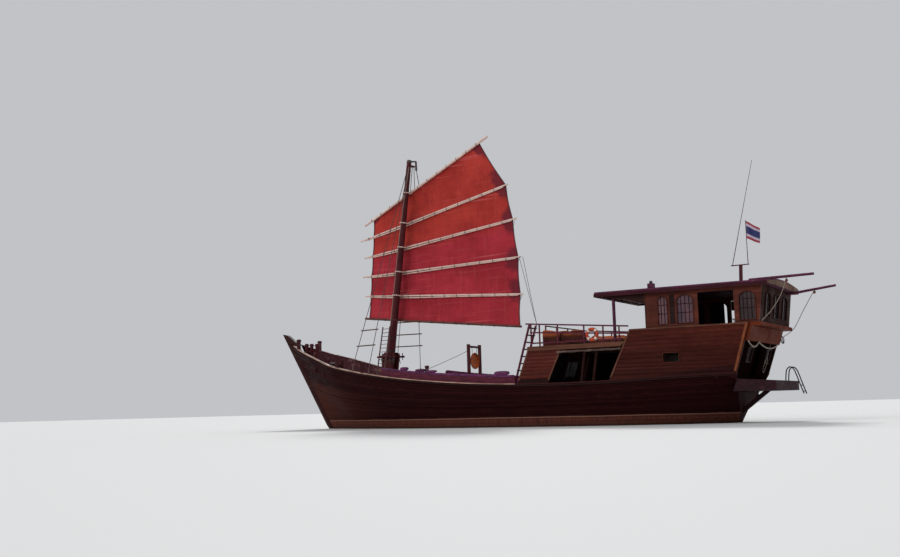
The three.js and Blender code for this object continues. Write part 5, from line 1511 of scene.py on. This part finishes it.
def seatPads(s, middles, width, sign):
    # a row of crowned pads, cut flat just above the bench
    pad, parts = s["pad"], []
    half = (width / 2 - pad["gap"], (pad["outer"] - pad["inner"]) / 2 - pad["gap"],
            (pad["high"] - pad["low"]) / 2 + pad["crowned"])
    for x in middles:
        centre = (x, sign * (pad["inner"] + pad["outer"]) / 2, (pad["low"] + pad["high"]) / 2)
        points, faces = pillow(centre, half, *pad["shape"])
        points[:, 2] = np.maximum(points[:, 2], pad["low"] + pad["clear"])
        parts.append((points, faces))
    return parts


def hungPads(h, sign):
    # pads over the bench's back; each falls by fall * (share of its length - 1/2) towards its aft end
    parts = []
    for aft, fore, low, high, fall in h["at"]:
        points, faces = pillow((0, 0, 0), ((fore - aft) / 2, h["half"], (high - low) / 2), *h["shape"])
        lean = xyz(0, 0, fall * (points[:, 0] / (fore - aft) - 0.5))
        middle = np.array([(aft + fore) / 2, sign * h["y"], (low + high) / 2])
        parts.append((points + lean + middle, faces))
    return parts


def deckCushions(s):
    # every pad is a superellipsoid; the same three rows on both sides
    width, back = (s["fore"] - s["aft"]) / s["count"], s["back"]
    middles = [s["aft"] + width * (k + 0.5) for k in range(s["count"])]
    backHalf = (width / 2 - back["gap"], *back["half"])
    for sign, label in ((1, "port"), (-1, "starboard")):
        backs = [pillow((x, sign * back["y"], back["z"]), backHalf, *back["shape"]) for x in middles]
        rows = {"seatPads": (seatPads(s, middles, width, sign), "seatCover", (f"cushion_{label}",)),
                "seatBacks": (backs, "seatCover", ()),
                "hungPads": (hungPads(s["hung"], sign), "hungCover", ())}
        for name, (parts, finish, replaced) in rows.items():
            piece = addPiece(f"{name}_{label}", parts, finish, sharp=s["sharp"],
                             replaces=replaced)


deckCushions(seat)


bench = {"aft": -1.88, "fore": 5.3, "above": 0.3, "inset": 0.16, "pads": 9, "sharp": 70,
         "roll": {"radius": 0.055, "in": 0.035, "up": 0.012, "end": 0.03, "pinch": 0.35, "pinchWide": 0.035,
                  "fill": 0.8},
         "pad": {"gap": 0.01, "half": (0.045, 0.3), "in": 0.1, "down": 0.03, "shape": (0.3, 0.5),
                 "fill": 0.7},
         "cover": {"in": 0.04, "up": 0.05, "half": 0.11, "shape": (0.5, 0.7), "fill": 0.5,
                   "at": [(3.9, 0.2, 0.08), (2.95, 0.28, 0.07), (2.35, 0.26, 0.06), (-1.25, 0.36, 0.09)]}}


def benchPads(b):
    # along the top of each long back a padded roll, pinched by a bell curve between its pads; pads on the
    # back's inner face; folded covers laid on the port one
    roll, pad, cover = b["roll"], b["pad"], b["cover"]
    onBack = lambda x, inward, up: xyz(x, railY(x) - b["inset"] - inward, railZ(x) + up)
    x = np.linspace(b["aft"] + roll["end"], b["fore"] - roll["end"], 260)
    phase = (x - x[0]) / (x[-1] - x[0]) * b["pads"]
    swell = 1 - roll["pinch"] * np.exp(-((phase - np.round(phase)) / roll["pinchWide"]) ** 2)
    path = onBack(x, roll["in"], b["above"] + roll["up"])
    part = sweep(path, roundProfile(roll["radius"], 16), ref=(0, 0, 1), scale=swell)
    addPair("benchRoll", [part], "padCover", b["sharp"])
    width = (b["fore"] - b["aft"]) / b["pads"]
    pads = [pillow(onBack(b["aft"] + width * (k + 0.5), pad["in"], -pad["down"]),
                   (width / 2 - pad["gap"], *pad["half"]), *pad["shape"]) for k in range(b["pads"])]
    addPair("benchPads", pads, "padCover", b["sharp"])
    covers = [pillow(onBack(x, cover["in"], b["above"] + cover["up"] + high), (long, cover["half"], high),
                     *cover["shape"]) for x, long, high in cover["at"]]
    piece = addPiece("foldedCovers", covers, "padCover", sharp=b["sharp"])


benchPads(bench)
report("soft goods")


# fittings: hoops on the windlass, what lies under and round the roof, and straps on the rudder

hoops = {"at": (10.35, 3.2), "across": (-0.4, -0.2, 0.0, 0.2, 0.4),
         "profile": [(0.135, -0.012), (0.165, -0.01), (0.165, 0.01), (0.135, 0.012)]}
roof = {"aft": -12.53, "level": 5.25, "rise": 0.01,
        "rafters": {"at": (-12.3, -5.5, 0.42), "down": 0.03, "size": (0.05, 0.05), "houseAft": -7.7,
                    "houseFore": -7.45, "outside": (2.24, 2.39), "half": 2.12},
        "eaves": {"fore": -5.44, "high": (5.26, 5.331), "y": 2.412, "size": (0.025, 0.14), "foreX": -5.438,
                  "foreHalf": 2.42},
        "gable": {"x": -12.55, "half": 2.36, "camber": ([0, 0.8, 1.6, 2.4], [0.31, 0.29, 0.23, 0.15]),
                  "under": 0.05, "thick": 0.018},
        "lamp": {"at": (-7.02, 0, 5.899),
                 "profile": [(0.001, 0.0), (0.05, 0.005), (0.07, 0.03), (0.07, 0.1), (0.045, 0.14),
                             (0.001, 0.15)]}}
straps = {"fore": -9.93, "aft": -10.4, "y": 0.04, "levels": (-1.65, -1.0), "size": (0.06, 0.012)}


def windlassHoops(h):
    # iron hoops that turn with the barrel
    parts = [revolved(h["profile"], (h["at"][0], y, h["at"][1]), (0, 1, 0), 24) for y in h["across"]]
    addPiece("windlassHoops", parts, "ironTube", body="windlass_barrel")


def roofRafters(r):
    # rafter ends show outside the wheelhouse, and whole rafters under the roof's fore overhang
    g, parts = r["rafters"], []
    across = lambda x, y0, y1, z: bar((x, y0, z), (x, y1, z), *g["size"])
    for x in np.arange(*g["at"]):
        z = r["level"] + r["rise"] * (x - r["aft"]) - g["down"]
        if x < g["houseAft"]:
            inner, outer = g["outside"]
            parts += [across(x, inner, outer, z), across(x, -inner, -outer, z)]
        elif x > g["houseFore"]:
            parts.append(across(x, -g["half"], g["half"], z))
    addPiece("roofRafters", parts, "plainMahogany")


def eavesBoard(r):
    # a board along each eave and one across the fore edge
    e = r["eaves"]
    low, high = e["high"]
    parts = [bar((r["aft"], y, low), (e["fore"], y, high), *e["size"]) for y in (e["y"], -e["y"])]
    parts.append(bar((e["foreX"], -e["foreHalf"], high), (e["foreX"], e["foreHalf"], high), *e["size"]))
    addPiece("eavesBoard", parts, "fasciaWood")


def gableBoard(r):
    # closes the aft gable from the eaves' level up to the roof's camber
    g = r["gable"]
    y, share = gridOf(np.linspace(-g["half"], g["half"], 60), np.linspace(0, 1, 5))
    top = r["level"] + np.interp(np.abs(y), *g["camber"]) - g["under"]
    face = xyz(g["x"], y, between(r["level"], top, share))
    addPiece("gableBoard", [slab(face, face + np.array([g["thick"], 0, 0]))], "gableWood")


def roofLamp(lamp):
    # a turned lamp cover on the base that the roof carries
    addPiece("roofLampGlass", [revolved(lamp["profile"], lamp["at"], (0, 0, 1), 24)], "ironTube")


def rudderStraps(s):
    # iron straps on both faces of the rudder, on the rudder's own body
    parts = [bar((s["fore"], y, z), (s["aft"], y, z), *s["size"])
             for y in (s["y"], -s["y"]) for z in s["levels"]]
    addPiece("rudderStraps", parts, "ironTube", body="rudder")


windlassHoops(hoops)
roofRafters(roof)
eavesBoard(roof)
gableBoard(roof)
roofLamp(roof["lamp"])
rudderStraps(straps)
report("fittings")


# finishes for the solids that stay, and for those that a piece stands for

looks = {
    "hullSolid": ["hull"],
    "keelPaint": ["keel_and_stem", "rudder"],
    "bulwarkPaint": ["bulwark_port", "bulwark_starboard"],
    "maroonPaint": ["side_bench_port", "side_bench_starboard", "side_rail_port", "side_rail_starboard",
                    "front_rail", "stair"],
    "openingWood": ["saloon_side_port", "saloon_side_starboard"],
    "poopMahogany": ["poop_side_port", "poop_side_starboard"],
    "cabinMahogany": ["saloon_front", "cabin_bulkhead", "wheelhouse_front"],
    "shelteredWood": ["wheelhouse_side_port", "wheelhouse_side_starboard"],
    "plainMahogany": ["cabin_door", "bench_port", "bench_starboard", "hatch_coaming", "helm_console",
                      "helm_wheel"],
    "deckTeak": ["upper_deck", "poop_deck", "hatch_lid"],
    "transomWood": ["transom"],
    "galleryWood": ["stern_gallery"],
    "sternWood": ["wheelhouse_stern"],
    "roofPaint": ["roof"],
    "mastTimber": ["tabernacle", "gong_frame", "windlass_bitts", "windlass_barrel", "bow_posts",
                   "aerial_mast", "mast"],
    "rungWood": ["shrouds_port", "shrouds_starboard", "crew_ladder"],
    "platformPaint": ["boarding_platform"],
    "ironTube": ["boarding_ladder"],
    "bronzeCast": ["propeller", "gong"],
    "paleSpar": ["yard", "batten_top", "batten_upper", "batten_lower", "batten_foot"],
    "darkSpar": ["boom"],
    "ropeDark": ["halyard"],
    "seatCover": ["cushion_port", "cushion_starboard", "sail"],
    "ringShell": ["life_ring", "flag"],
}


def finishSolids(looks):
    finishOf = {name: finish for finish, names in looks.items() for name in names}
    for name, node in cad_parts.items():
        node.data.materials.clear()
        node.data.materials.append(finishes[finishOf[name]])


finishSolids(looks)


ground = {"half": 900.0, "tone": (0.62, 0.62, 0.61), "roughness": 0.9}


def studioFloor(g):
    # one plain quad at the waterline
    corners = np.array([[-1, -1, 0], [1, -1, 0], [1, 1, 0], [-1, 1, 0]]) * g["half"]
    mesh = makeMesh("studioFloor", corners, [np.array([[0, 1, 2, 3]])], smooth=False)
    floor = bpy.data.objects.new("studioFloor", mesh)
    bpy.context.scene.collection.objects.link(floor)
    paint = bpy.data.materials.new("paleFloor")
    paint.use_nodes = True
    shader = paint.node_tree.nodes["Principled BSDF"]
    shader.inputs["Base Color"].default_value = (*g["tone"], 1)
    shader.inputs["Roughness"].default_value = g["roughness"]
    mesh.materials.append(paint)


studioFloor(ground)
report("finishes and floor")
